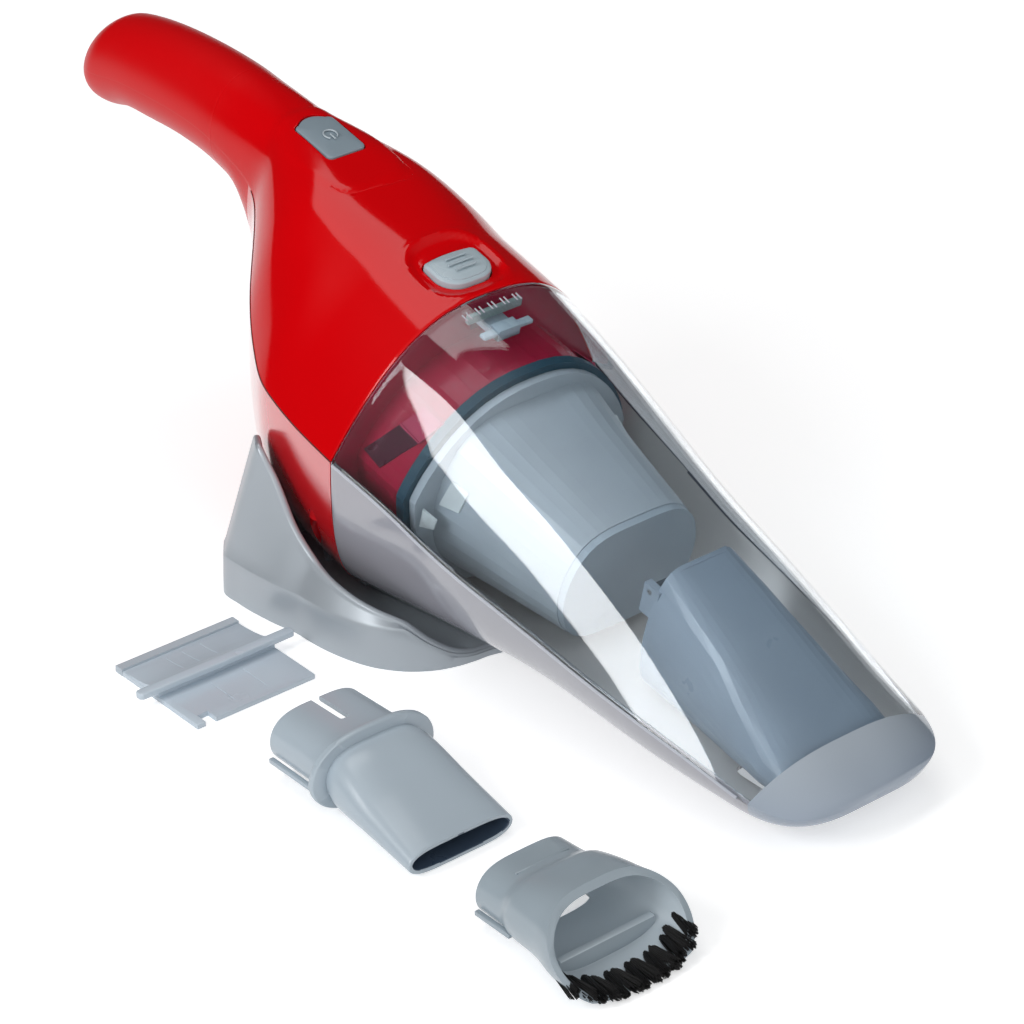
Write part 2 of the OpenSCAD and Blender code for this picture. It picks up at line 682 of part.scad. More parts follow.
// Duct outside: share of its length, half width; roof and floor follow the bowl.
DUCT = [[0, 20], [0.5, 24], [0.85, 27], [1, 25]];
function on_duct(u) = (u - duct_u)/(duct_end - duct_u);
function duct_section(u, t) = let (s = bowl_inside(u, bowl_wall + 2*fit), top = s[1] - duct_drop - t)
    [track(DUCT, 1, on_duct(u)) - t, top, (top + s[3] + t)/2, s[3] + t + 0.3];
duct_form = [6, 0.6, 6, 0.6];

pin_r = 1;
pin_u = duct_u - 3;
pin_w = 12;
ear_t = 3;
flap_w = 30;
flap_t = 1.4;
flap_len = 22;
window_w = 26;                   // opening that the flap closes

module intake_duct() {
    stations = [for (k = [0, 0.2, 0.4, 0.6, 0.8, 0.9, 1]) duct_u + k*(duct_end - duct_u)];
    inner = [for (u = stations) u == duct_end ? u - duct_wall : u];
    color([0.5, 0.56, 0.62, 0.9]) docked() difference() {
        union() {
            cup([for (u = stations) at_u(full_ring(duct_section(u, 0), duct_form), u)],
                [for (u = inner) at_u(full_ring(duct_section(u, duct_wall), duct_form), u)]);
            along_u(duct_u + 0.2, duct_wall) polygon(full_ring(duct_section(duct_u, 0.3), duct_form));
            for (side = [-1, 1]) translate([pin_u - 3, side*(flap_w/2 + 0.4 + ear_t/2) - ear_t/2, pin_w - 10])
                cube([duct_u - pin_u + 4.5, ear_t, 12.5]);
        }
        mouth_cut();
        translate([duct_u - 1, -window_w/2, pin_w - flap_len + 2]) cube([duct_wall + 2, window_w, flap_len - 6]);
        translate([pin_u, -flap_w, pin_w]) rotate([-90, 0, 0]) cylinder(r = pin_r + run, h = 2*flap_w);
    }
}

module flap_pin() {
    color("#c8ccd0") docked() translate([pin_u, -flap_w/2 - 0.4 - ear_t, pin_w])
        rotate([-90, 0, 0]) cylinder(r = pin_r, h = flap_w + 0.8 + 2*ear_t);
}

module flap_valve() {
    color("#3f4f5c") docked() translate([pin_u, 0, pin_w]) difference() {
        union() {
            translate([0, -flap_w/2, 0]) rotate([-90, 0, 0]) cylinder(r = 2.2, h = flap_w);
            translate([-flap_t/2, -flap_w/2, -flap_len]) cube([flap_t, flap_w, flap_len - 1]);
        }
        translate([0, -flap_w, 0]) rotate([-90, 0, 0]) cylinder(r = pin_r + run, h = 2*flap_w);
    }
}

// ---- filter --------------------------------------------------------------------------------

seal_t = 4;
flange_u = spigot_len + seal_t + fit;
filter_u = flange_u + flange_t;
cap_t = 3;
filter_end = filter_u + filter_len;
// Filter body outside: u, half width, roof, floor.
FILTER = [[filter_u - 1, 39, 27, -42], [filter_u + 22, 35, 22, -38], [filter_end, 30, 15.5, -31]];
filter_form = [4, 0.55, 4, 0.55];
filter_wall = 1.6;
function filter_section(u, t) = [track(FILTER, 1, u) - t, track(FILTER, 2, u) - t,
    (track(FILTER, 2, u) + track(FILTER, 3, u))/2, track(FILTER, 3, u) + t];

module filter_seal() {
    color("#1d4454") docked() along_u(spigot_len, seal_t) difference() {
        polygon(spigot_ring(-1.5));
        polygon(spigot_ring(4));
    }
}

module filter_frame() {
    stations = [filter_u - 1, filter_u + 22, filter_end - cap_t];
    color("#b4bcc1") docked() {
        along_u(flange_u, flange_t) difference() {
            polygon(spigot_ring(1));
            polygon(full_ring(filter_section(filter_u, filter_wall), filter_form));
        }
        tube([for (u = stations) at_u(full_ring(filter_section(u, 0), filter_form), u)],
            [for (u = stations) at_u(full_ring(filter_section(u, filter_wall), filter_form), u)]);
    }
}

pleats = 9;

module filter_pleats() {
    s = filter_section(filter_end - cap_t, filter_wall + 1);
    pitch = 2*s[0]*0.86/pleats;
    span = 1.6;
    mid = s[2];
    color("#e9e6dc") docked() along_u(filter_u + 4, filter_end - cap_t - filter_u - 4) polygon(concat(
        [for (k = [0:2*pleats]) [(k - pleats)*pitch/2, mid + pleat_h*(k%2 == 0 ? -1 : 1) + span]],
        [for (k = [2*pleats:-1:0]) [(k - pleats)*pitch/2, mid + pleat_h*(k%2 == 0 ? -1 : 1) - span]]));
}

module filter_front_cap() {
    color("#aab3b9") docked() along_u(filter_end - cap_t, cap_t)
        polygon(full_ring(filter_section(filter_end, 0), filter_form));
}

// ---- stand -----------------------------------------------------------------------------------

// Outline round the origin: angle from +X, radius at the floor, rim height, rim set-in.
STAND = [[0, 49, 3.6, 1], [30, 54, 3.6, 1], [36, 57, 3.8, 1.2], [42, 60.5, 5.2, 1.6], [51, 65, 11, 2],
    [60, 68, 18.5, 2.4], [70, 69.7, 21.5, 3], [80, 70.2, 23.5, 4], [96, 71.5, 28, 6], [107, 77, 37, 9],
    [117, 84, 52, 12], [124, 89, 61, 12.7], [130, 89, 60, 12], [135, 86, 44, 9], [142, 80.5, 27, 5.2],
    [150, 75, 20, 2.8], [165, 69.5, 17.8, 2.2], [180, 68, 17.4, 2]];
function polar(r, a) = [r*cos(a), r*sin(a)];
function stand_side(a) = abs(a > 180 ? 360 - a : a);
// Cross-section of the stand's wall at angle a, as radius and height.
function stand_wall_at(a) = let (s = stand_side(a), r = track(STAND, 1, s), z = track(STAND, 2, s),
    in = track(STAND, 3, s), foot = min(plinth_h, z - 0.8), t = stand_wall)
    [[r, 0], [r - 0.4, foot - 0.6], [r - 0.9, foot], [r - in - 0.6, z - 0.3], [r - in - 1.2, z],
     [r - in - t + 0.6, z], [r - in - t, z - 0.4], [r - t - 0.9, foot - 0.4], [r - t - 0.4, 0]];
stand_steps = 80;
function wall_band(m, a, b) = [for (k = [0:m - 1]) let (l = (k + 1)%m)
    each [[a + k, a + l, b + l], [a + k, b + l, b + k]]];

module stand_shell() {
    n = stand_steps;
    sections = [for (i = [0:n - 1]) let (a = 360*i/n) [for (p = stand_wall_at(a))
        [polar(p[0], a)[0], polar(p[0], a)[1], p[1]]]];
    m = len(sections[0]);
    color("#b6bcc2") {
        difference() {
            polyhedron(joined(sections), [for (i = [0:n - 1]) each wall_band(m, i*m, ((i + 1)%n)*m)]);
            translate([inlet_x - 2*stand_wall, 0, inlet_z]) rotate([0, 90, 0])
                cylinder(r = inlet_collar_r + fit, h = 3*stand_wall);
        }
        for (p = POSTS) difference() {
            translate([p[0], p[1], base_t + 0.05]) cylinder(r = post_r, h = post_h);
            translate([p[0], p[1], base_t - 1]) cylinder(r = screw_r + run, h = post_h);
        }
    }
}

inlet_z = 8.6;                   // height of the charging inlet
inlet_collar_r = 4.4;
inlet_half = 5.2;
inlet_len = 12;
inlet_reach = 3.6;               // how far its collar goes out through the wall
inlet_x = -track(STAND, 1, 180) + stand_wall + 1.6;
post_r = 4.6;
post_h = 9;
function post_at(a) = polar(track(STAND, 1, a) - stand_wall - 4.6, a);
POSTS = [for (a = [62, 124]) each [post_at(a), [post_at(a)[0], -post_at(a)[1]]]];
base_clear = 0.6;
saddle_t = 3;
SADDLES = [-40, -18];             // x of the two ribs that carry the cleaner
saddle_half = 34;
wall_hole_x = -24;

module stand_base() {
    edge = [for (i = [0:stand_steps - 1]) let (a = 360*i/stand_steps)
        polar(track(STAND, 1, stand_side(a)) - stand_wall - 0.4 - base_clear, a)];
    color("#aab1b7") difference() {
        union() {
            linear_extrude(base_t) polygon(edge);
            for (x = SADDLES) translate([x - saddle_t/2, 0, 0]) rotate([90, 0, 90]) linear_extrude(saddle_t)
                polygon(concat([[saddle_half, base_t/2], [-saddle_half, base_t/2]],
                    [for (i = [-12:12]) let (y = saddle_half*i/12)
                        [y, min(belly_z(x - saddle_t/2, y), belly_z(x + saddle_t/2, y)) - fit - 0.1]]));
        }
        for (side = [-1, 1]) translate([wall_hole_x, side*wall_hole_pitch/2, -1])
            cylinder(d = wall_hole_d, h = base_t + 2);
        for (p = POSTS) translate([p[0], p[1], -1]) cylinder(r = screw_r + 0.25, h = base_t + 2);
        for (p = POSTS) translate([p[0], p[1], -1]) cylinder(r = head_r + 0.2, h = 1 + 1.2);
        for (p = FEET) translate([p[0], p[1], -1]) cylinder(r = foot_r + 0.1, h = 1 + foot_sink);
    }
}

foot_r = 5;
foot_sink = 1.2;
function foot_at(a) = polar(track(STAND, 1, a) - stand_wall - 12, a);
FEET = [for (a = [48, 138]) each [foot_at(a), [foot_at(a)[0], -foot_at(a)[1]]]];

module stand_feet() {
    color("#3a3d40") for (p = FEET) translate([p[0], p[1], 0]) cylinder(r = foot_r, h = foot_sink);
}

module stand_screws() {
    color("#8c9096") for (p = POSTS) translate([p[0], p[1], 0.2]) {
        cylinder(r = head_r, h = 1);
        cylinder(r = screw_r, h = 8);
    }
}

module stand_contacts() {
    x = dock_x(contact_u, belly_w(contact_u, contact_y));
    color("#c9a24a") for (y = [-contact_y, contact_y]) {
        z = belly_z(x, y) - 0.5;
        translate([x - 5, y - 3, base_t]) cube([10, 6, 1.5]);
        translate([x, y, base_t + 1]) cylinder(r = 1.8, h = z - base_t - 1);
    }
}

module charge_inlet() {
    color("#2b2d30") difference() {
        union() {
            translate([inlet_x, -inlet_half, base_t])
                cube([inlet_len, 2*inlet_half, inlet_z + inlet_half - base_t]);
            translate([inlet_x - inlet_reach, 0, inlet_z]) rotate([0, 90, 0])
                cylinder(r = inlet_collar_r, h = inlet_reach + 1);
        }
        translate([inlet_x - inlet_reach - 1, 0, inlet_z]) rotate([0, 90, 0])
            cylinder(r = inlet_d/2, h = inlet_reach + inlet_len - 1);
    }
}

// ---- nozzles ------------------------------------------------------------------------------------

nozzle_y = -114;
squeegee_x = -30;
squeegee_y = -110;
squeegee_len = 49;
plate_thick = 2.2;
bar_x = 24;
bar_w = 66;
bar_h = 7;
bar_t = 3;
lip_len = 4;                     // strip of rubber along the rear edge
lip_slope = 20;                  // angle of its wiping edge
lip_rise = 0.6;
notch_len = 5;
notch_w = 4.5;
notch_edge = 3.5;                // width of the hook beside the notch

module squeegee_plate() {
    color("#a9b2b9") translate([squeegee_x, squeegee_y, 0]) difference() {
        union() {
            translate([lip_len, -squeegee_w/2, 0]) cube([squeegee_len - lip_len, squeegee_w, plate_thick]);
            translate([bar_x, -bar_w/2, 0]) cube([bar_t, bar_w, bar_h]);
        }
        translate([squeegee_len - notch_len, notch_edge - squeegee_w/2, -1])
            cube([notch_len + 1, notch_w, plate_thick + 2]);
    }
}

module squeegee_lip() {
    color("#8f999f") translate([squeegee_x, squeegee_y - squeegee_w/2, 0]) difference() {
        cube([lip_len, squeegee_w, plate_thick + lip_rise]);
        translate([-1, -1, plate_thick]) rotate([0, -lip_slope, 0])
            cube([1.5*lip_len, squeegee_w + 2, lip_len]);
    }
}

// Round-cornered section for the nozzles: half width, half height, height of its middle.
function box_ring(b, h, z, p = 4, q = 0.5) =
    [for (i = [0:35]) let (a = 10*i, c = cos(a), s = sin(a))
        [b*c, z + (s >= 0 ? 1 : -1)*h*pow(max(0, 1 - pow(abs(c), p)), q)]];
function nozzle_stack(rows, t) = [for (r = rows) [for (p = box_ring(r[1] - t, r[2] - t, r[3], r[4], 0.5)) [r[0], p[0], p[1]]]];

crevice_x = 58;
crevice_len = 78;
collar_w = 52;
collar_h = 29;
collar_x = 31;

module crevice_nozzle() {
    mid = collar_h/2;
    // x, half width, half height, height of the middle, corner exponent
    rows = [[0, spigot_w/2, spigot_h/2, mid - 1, 3.4], [collar_x, spigot_w/2 + 0.6, spigot_h/2 + 0.6, mid - 0.5, 3.4],
        [collar_x + 6, 21.5, 11.4, mid - 1.5, 3.6], [collar_x + 24, 22, 8, 9.5, 4], [crevice_len, 22, 4.9, 5, 5]];
    color("#a7b1b8") translate([crevice_x, nozzle_y, 0]) difference() {
        union() {
            tube(nozzle_stack(rows, 0), nozzle_stack(rows, nozzle_wall));
            along_u(collar_x - 1.5, 3) difference() {
                polygon(box_ring(collar_w/2, collar_h/2, mid, 2.6));
                polygon(box_ring(spigot_w/2 - 0.6, spigot_h/2 - 0.6, mid - 0.5, 3.4));
            }
            for (side = [-1, 1]) translate([3, side*(spigot_w/2 + 0.3) - 1, mid - 8]) cube([collar_x - 4, 2, 2]);
        }
        translate([-1, -1.8, mid + 4]) cube([17, 3.6, 10]);
    }
}

brush_x = 168;
brush_y = -115;
brush_len = 58;
brush_h = 28;
mouth_slant = 44;                // the mouth leans back by this angle
ledge_x = 39;                    // where the floor of the spigot ends in a ledge
ledge_w = 40;
catch_len = 17;                  // opening under the spigot for the catch of the mouth
catch_w = 31;

module brush_place() {
    translate([brush_x, brush_y, 0]) children();
}

module brush_body() {
    mid = brush_h/2;
    rows = [[0, spigot_w/2, spigot_h/2, mid - 3, 3.4], [12, spigot_w/2 + 0.5, spigot_h/2 + 0.4, mid - 2.6, 3.4],
        [18, spigot_w/2 + 2.5, spigot_h/2 + 2.2, mid - 1.4, 3.4], [32, brush_w/2 - 3.5, mid - 0.5, mid - 0.1, 3.4],
        [46, brush_w/2, mid, mid, 3.2], [brush_len, brush_w/2 + 0.5, mid, mid, 3.2]];
    color("#a9b2b8") brush_place() difference() {
        union() {
            tube(nozzle_stack(rows, 0), nozzle_stack(rows, nozzle_wall));
            for (side = [-1, 1]) translate([2, side*(spigot_w/2 + 0.4) - 1, mid - 9]) cube([16, 2, 2]);
            translate([ledge_x, -ledge_w/2, 1]) cube([2.6, ledge_w, 8]);
        }
        translate([brush_len, -brush_w, 3]) rotate([0, -mouth_slant, 0]) cube([60, 2*brush_w, 60]);
        translate([-1, -catch_w/2, -1]) cube([catch_len + 1, catch_w, 6]);
    }
}

tuft_r = 1.7;

tuft_len = 12;

module brush_bristles() {
    color("#141414") brush_place() for (i = [0:tuft_count - 1])
        let (s = 2*i/(tuft_count - 1) - 1, side = pow(abs(s), 3), y = s*(brush_w/2 - 3.5))
            translate([brush_len - 4 - 5*side, y, 2.4 + 5.2*side]) rotate([0, 84, 0])
                cylinder(r = tuft_r, h = tuft_len);
}

upper_housing();
lower_housing();
housing_screws();
motor_bulkhead();
fan_housing();
impeller();
motor_shaft();
armature();
motor_can();
motor_magnets();
motor_end_cap();
motor_screws();
battery_cell_rear();
battery_cell_front();
battery_carrier();
control_board();
power_switch();
power_button();
power_spring();
release_button();
release_spring();
charge_contacts();
dust_bowl();
intake_duct();
flap_pin();
flap_valve();
filter_seal();
filter_frame();
filter_pleats();
filter_front_cap();
stand_shell();
stand_base();
stand_screws();
stand_feet();
stand_contacts();
charge_inlet();
squeegee_plate();
squeegee_lip();
crevice_nozzle();
brush_body();
brush_bristles();
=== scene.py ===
"""A cordless hand vacuum cleaner docked nose-down in its charging stand, with three loose nozzles."""

import math
import random

import bpy
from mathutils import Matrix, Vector


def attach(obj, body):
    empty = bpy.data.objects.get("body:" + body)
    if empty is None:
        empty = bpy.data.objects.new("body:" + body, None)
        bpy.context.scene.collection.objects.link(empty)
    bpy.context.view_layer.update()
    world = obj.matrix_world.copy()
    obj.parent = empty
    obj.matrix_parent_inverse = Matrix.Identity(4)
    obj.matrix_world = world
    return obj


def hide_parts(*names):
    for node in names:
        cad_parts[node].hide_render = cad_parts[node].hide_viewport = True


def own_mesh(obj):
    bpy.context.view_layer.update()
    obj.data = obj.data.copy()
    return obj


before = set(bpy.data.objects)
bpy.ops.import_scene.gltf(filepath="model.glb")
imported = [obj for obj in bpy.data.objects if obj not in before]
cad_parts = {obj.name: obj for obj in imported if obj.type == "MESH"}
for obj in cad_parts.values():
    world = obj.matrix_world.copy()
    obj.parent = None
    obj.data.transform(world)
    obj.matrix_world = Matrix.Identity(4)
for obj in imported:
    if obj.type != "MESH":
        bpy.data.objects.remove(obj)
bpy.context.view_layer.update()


# ---- The place of the camera -------------------------------------------------------------
# A long lens, high on the nose side, so that the whole length of the cleaner is seen
# from above and the loose nozzles lie in front of it.
camera = bpy.data.objects.new("camera", bpy.data.cameras.new("camera"))
bpy.context.scene.collection.objects.link(camera)
camera.data.sensor_width = 36.0
camera.data.lens = 137.8
camera.data.clip_end = 20.0
camera.location = (0.95452, -0.77934, 0.73931)
looked_at = Vector((0.02574, 0.0, 0.03931))
camera.rotation_euler = (looked_at - camera.location).to_track_quat("-Z", "Y").to_euler()
bpy.context.scene.camera = camera


# ---- Red body ----------------------------------------------------------------------------
# Two half shells of red ABS, moulded in polished tools, meet along a parting line that
# runs round the widest part of the body and up the sides of the handle.  Five screws
# from below hold them together.


def linear(code, share=1):
    """Linear colour of an sRGB hex code, or a darker share of it."""
    channels = [int(code[i:i + 2], 16) / 255 for i in (1, 3, 5)]
    return [share * (c / 12.92 if c <= 0.04045 else ((c + 0.055) / 1.055) ** 2.4) for c in channels] + [1]


def add(tree, kind, settings=None, **links):
    """Adds a node: settings by socket or property, links by socket name, _ for a space, or _number."""
    node = tree.nodes.new(kind)
    for key, value in (settings or {}).items():
        if isinstance(key, int) or key in node.inputs:
            node.inputs[key].default_value = value
        else:
            setattr(node, key, value)
    for key, source in links.items():
        tree.links.new(source, node.inputs[int(key[1:]) if key[0] == "_" else key.replace("_", " ")])
    return node


def new_material(name, **sockets):
    """A material with these shader settings, its node tree, its shader and the place on the object."""
    material = bpy.data.materials.new(name)
    material.use_nodes = True
    tree = material.node_tree
    shader = tree.nodes["Principled BSDF"]
    for socket, value in sockets.items():
        shader.inputs[socket.replace("_", " ")].default_value = value
    return material, tree, shader, add(tree, "ShaderNodeTexCoord").outputs["Object"]


def vary(tree, shader, pattern, colour, darkest, roughness, low, high):
    """Lets a pattern darken the colour down to a share of it, and move the roughness between two shares."""
    tone = add(tree, "ShaderNodeMix", {"data_type": "RGBA", 6: linear(colour), 7: linear(colour, darkest)},
               _0=pattern.outputs["Fac"])
    gloss = add(tree, "ShaderNodeMapRange", {"To Min": roughness * low, "To Max": roughness * high},
                Value=pattern.outputs["Fac"])
    tree.links.new(tone.outputs[2], shader.inputs["Base Color"])
    tree.links.new(gloss.outputs["Result"], shader.inputs["Roughness"])


def moulded(name, colour, roughness, shade=0.06, patch=0.03, grain=0.0, depth=0.0, **sockets):
    """A moulded plastic: faint clouds in colour and gloss, and a tool grain of a size in metres."""
    material, tree, shader, place = new_material(name, **{"IOR": 1.53, **sockets})
    cloud = add(tree, "ShaderNodeTexNoise", {"Scale": 1 / patch, "Detail": 4.0}, Vector=place)
    vary(tree, shader, cloud, colour, 1 - shade, roughness, 0.75, 1.25)
    if depth:
        fine = add(tree, "ShaderNodeTexNoise", {"Scale": 1 / grain, "Detail": 2.0}, Vector=place)
        bump = add(tree, "ShaderNodeBump", {"Strength": 0.6, "Distance": depth}, Height=fine.outputs["Fac"])
        tree.links.new(bump.outputs["Normal"], shader.inputs["Normal"])
    return material


def track(table, column, at):
    """Value of a column on a smooth curve through the stations that never overshoots them."""
    last = len(table) - 2
    i = next((k for k in range(last) if at <= table[k + 1][0]), last)

    def slope(k):
        return (table[k + 1][column] - table[k][column]) / (table[k + 1][0] - table[k][0])

    def knot(k):
        if k in (0, last + 1):
            return slope(min(k, last))
        a, b = slope(k - 1), slope(k)
        return 0 if a * b <= 0 else 2 * a * b / (a + b)

    span = table[i + 1][0] - table[i][0]
    s = min(1, max(0, (at - table[i][0]) / span))
    r = 1 - s
    return (table[i][column] * r * r * (1 + 2 * s) + knot(i) * span * s * r * r
            + table[i + 1][column] * s * s * (1 + 2 * r) - knot(i + 1) * span * s * s * r)


sections_made = {}  # what even() has already worked out


def even(name, table, column, at, reach):
    """Value of a column evened out over a reach, so that no station shows in the gloss."""
    key = (name, column, round(at, 4))
    if key not in sections_made:
        reach = max(0, min(reach, at - table[0][0], table[-1][0] - at))
        weights = [1 + math.cos(math.pi * k / 6) for k in range(-5, 6)]
        sections_made[key] = sum(weight * track(table, column, at + reach * k / 6)
                                 for k, weight in zip(range(-5, 6), weights)) / sum(weights)
    return sections_made[key]


def ease(low, high, at):
    """Rises smoothly from 0 at low to 1 at high."""
    s = min(1, max(0, (at - low) / (high - low)))
    return s * s * (3 - 2 * s)


# The docked cleaner dips its nose.  Its seam has its middle here in the row, in mm.
nose_dip = math.radians(13)
seam_x, seam_z = 1, 71.5


def docked(u, y, w):
    """Place in the row of a point of the cleaner: u forward from the bowl's seam, w up, in mm."""
    c, s = math.cos(nose_dip), math.sin(nose_dip)
    return Vector((seam_x + u * c + w * s, y, seam_z - u * s + w * c)) / 1000


def undocked(place):
    """The cleaner's own u, y and w, in mm, of a place in the row."""
    c, s = math.cos(nose_dip), math.sin(nose_dip)
    x, z = place[0] * 1000 - seam_x, place[2] * 1000 - seam_z
    return Vector((x * c - z * s, place[1] * 1000, x * s + z * c))


def only(*objects):
    """Selects these objects and nothing else."""
    bpy.ops.object.select_all(action="DESELECT")
    for piece in objects:
        piece.select_set(True)
    bpy.context.view_layer.objects.active = objects[0]


def joined(name, *parts):
    """Makes one piece of these parts."""
    only(*parts)
    bpy.ops.object.join()
    piece = bpy.context.object
    piece.name = name
    return piece


def turned_out(piece):
    """Makes every face of a closed piece look outwards."""
    only(piece)
    bpy.ops.object.mode_set(mode="EDIT")
    bpy.ops.mesh.select_all(action="SELECT")
    bpy.ops.mesh.normals_make_consistent(inside=False)
    bpy.ops.object.mode_set(mode="OBJECT")
    return piece


def laid(name, across, along, place):
    """A grid whose points are moved to place(s, t), both from 0 to 1; points that meet are joined."""
    bpy.ops.object.select_all(action="DESELECT")
    bpy.ops.mesh.primitive_grid_add(x_subdivisions=across, y_subdivisions=along, size=1)
    piece = bpy.context.object
    piece.name = name
    for vertex in piece.data.vertices:
        vertex.co = place(vertex.co.x + 0.5, vertex.co.y + 0.5)
    bpy.ops.object.mode_set(mode="EDIT")
    bpy.ops.mesh.select_all(action="SELECT")
    bpy.ops.mesh.remove_doubles(threshold=0.00001)
    bpy.ops.object.mode_set(mode="OBJECT")
    return piece


def prism(name, outline, low, high, place=docked):
    """A block with this outline between two heights, in the cleaner's frame."""
    bpy.ops.object.select_all(action="DESELECT")
    bpy.ops.mesh.primitive_circle_add(vertices=len(outline), radius=1, fill_type="NGON")
    piece = bpy.context.object
    piece.name = name
    for vertex, (u, y) in zip(piece.data.vertices, outline):
        vertex.co = place(u, y, low)
    bpy.ops.object.mode_set(mode="EDIT")
    bpy.ops.mesh.select_all(action="SELECT")
    rise = place(0, 0, high) - place(0, 0, low)
    bpy.ops.mesh.extrude_region_move(TRANSFORM_OT_translate={"value": rise})
    bpy.ops.object.mode_set(mode="OBJECT")
    return turned_out(piece)


def worked(piece, kind, **settings):
    """Adds a modifier with these settings and applies it."""
    only(piece)
    modifier = piece.modifiers.new(kind.lower(), kind)
    for key, value in settings.items():
        setattr(modifier, key, value)
    bpy.ops.object.modifier_apply(modifier=modifier.name)


def edged(piece, width, segments=2, sharper_than=50):
    """Rounds the edges that are sharper than an angle in degrees."""
    worked(piece, "BEVEL", width=width, segments=segments, limit_method="ANGLE",
           angle_limit=math.radians(sharper_than))


def cut(piece, *tools, operation="DIFFERENCE"):
    """Cuts the tools out of a piece, or joins them on, and throws the tools away."""
    only(*tools)
    if len(tools) > 1:
        bpy.ops.object.join()
    tool = bpy.context.object
    worked(piece, "BOOLEAN", operation=operation, solver="EXACT", object=tool)
    bpy.data.objects.remove(tool)


def fitted(piece, body, slot, material, *nodes, angle=35):
    """Shades a finished piece, gives it its finish and lets it ride on its body."""
    only(piece)
    bpy.ops.object.transform_apply(location=True, rotation=True, scale=True)
    bpy.ops.object.shade_smooth_by_angle(angle=math.radians(angle))
    if material:
        piece.data.materials.clear()
        piece.data.materials.append(material)
    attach(piece, body)
    if nodes:
        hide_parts(*nodes)
    return piece


def wire(name, points, radius, place=docked):
    """A round bead through these points, as a mesh."""
    line = bpy.data.curves.new(name, "CURVE")
    line.dimensions = "3D"
    line.bevel_depth = radius
    line.bevel_resolution = 3
    line.use_fill_caps = True
    spline = line.splines.new("POLY")
    spline.points.add(len(points) - 1)
    for knot, point in zip(spline.points, points):
        knot.co = (*place(*point), 1)
    piece = bpy.data.objects.new(name, line)
    bpy.context.scene.collection.objects.link(piece)
    only(piece)
    bpy.ops.object.convert(target="MESH")
    return bpy.context.object


# u, roof, parting line, half width and belly at stations of the body
body_table = [
    (-228.5, 32, 15, 17.5, 0.5), (-210.5, 41.5, 20, 18.5, 2), (-198.5, 46, 25, 18.5, 8),
    (-183.5, 50.5, 29, 18.5, 11.5), (-160.5, 55.5, 34, 18.5, 16.5), (-143.5, 58, 36, 18.5, 18),
    (-127, 59, 35, 18.5, 17), (-118, 59.2, 33.5, 18.5, 5), (-110, 59.4, 31, 19, -10),
    (-97, 59.2, 25, 26.5, -38), (-88, 58.8, 20, 33.5, -50), (-74, 57.8, 13.5, 44, -58.5),
    (-60, 56.6, 6.5, 52, -63), (-43, 55.2, 1.5, 59, -66.5), (-17, 53.3, 0, 61.5, -68), (0, 52, 0, 62, -68)]
body_rear = body_table[0][0]
rear_round = 15
body_evening = 9
# the wall and the rounding of its edges, in metres
shell_wall, shell_edge = 0.0022, 0.0005


def section(name, table, at, share, reach):
    """Half width, roof, parting line and belly, drawn in to a share of their size."""
    roof, middle, half, belly = (even(name, table, column, at, reach) for column in (1, 2, 3, 4))
    return half * share, middle + (roof - middle) * share, middle, middle + (belly - middle) * share


def body_point(u, angle):
    """Point of the red skin at u, from 0 at the +y edge over the roof to pi at the -y edge."""
    end = 1 - min(1, (u - body_rear) / rear_round)
    share = math.sqrt(max(0, 1 - end * end))
    half, roof, middle, belly = section("body", body_table, u, share, body_evening)
    full, shoulder = ease(-118, -55, u), ease(-140, -95, u) * (1 - ease(-80, -30, u))
    power = 2 + 0.6 * full + 1.3 * shoulder if angle <= math.pi else 2 + 4.5 * full
    top = roof if angle <= math.pi else belly
    reach = max(0, 1 - abs(math.cos(angle)) ** power) ** (0.5 + 0.5 * full)
    return half * math.cos(angle), middle + (top - middle) * reach


def roof_at(u, y):
    """Height of the red roof at u and y."""
    half = section("body", body_table, u, 1, body_evening)[0]
    return body_point(u, math.acos(y / half))[1]


def body_station(t):
    """Stations crowd on the round rear end and go evenly from there to the seam."""
    if t < 0.1:
        return body_rear + rear_round * (1 - math.cos(t * 5 * math.pi))
    return body_rear + rear_round + (-body_rear - rear_round) * (t - 0.1) / 0.9


def oval(u, y, middle, length, width, power):
    """1 on a rounded outline, less inside it."""
    return (abs((u - middle) / length) ** power + abs(y / width) ** power) ** (1 / power)


def upper_point(s, t):
    """The upper skin, with a raised tongue round the power button and a dish at the release button."""
    u = body_station(t)
    y, w = body_point(u, s * math.pi)
    tongue_rise, dish_depth, dish_lip = 0.55, 1.7, 0.35
    w += tongue_rise * (1 - ease(0.88, 1.0, oval(u, y, -88, 25, 18.5, 4)))
    dish = oval(u, y, -17.6, 15.6, 17.5, 2.8)
    w -= (dish_depth * (1 - ease(0.8, 0.99, dish))
          - dish_lip * ease(0.93, 1.0, dish) * (1 - ease(1.04, 1.14, dish)))
    return docked(u, y, w)


def lower_point(s, t):
    """The lower skin goes back under the body."""
    u = body_station(t)
    return docked(u, *body_point(u, math.pi * (1 + s)))


def button_outline(rear, length, width, small, front, bow, grow=0.0):
    """Outline with rounded corners, a bowed rear edge and its own radius in front."""
    rear, length, half = rear - grow, length + 2 * grow, width / 2 + grow
    small, front = small + grow, front + grow
    points = []
    for sign in (1, -1):
        turn = [90 + 10 * k for k in range(10)][::sign]
        points += [(rear + bow + small * (math.cos(math.radians(a)) + 1),
                    sign * (half - small + small * math.sin(math.radians(a)))) for a in turn]
        if sign == 1:
            points += [(rear + bow * (k / 8) ** 2, (half - small) * k / 8) for k in range(7, -8, -1)]
    for sign in (-1, 1):
        turn = [9 * k for k in range(11)][::sign]
        points += [(rear + length - front * (1 - math.cos(math.radians(a))),
                    sign * (half - front + front * math.sin(math.radians(a)))) for a in turn]
    return points


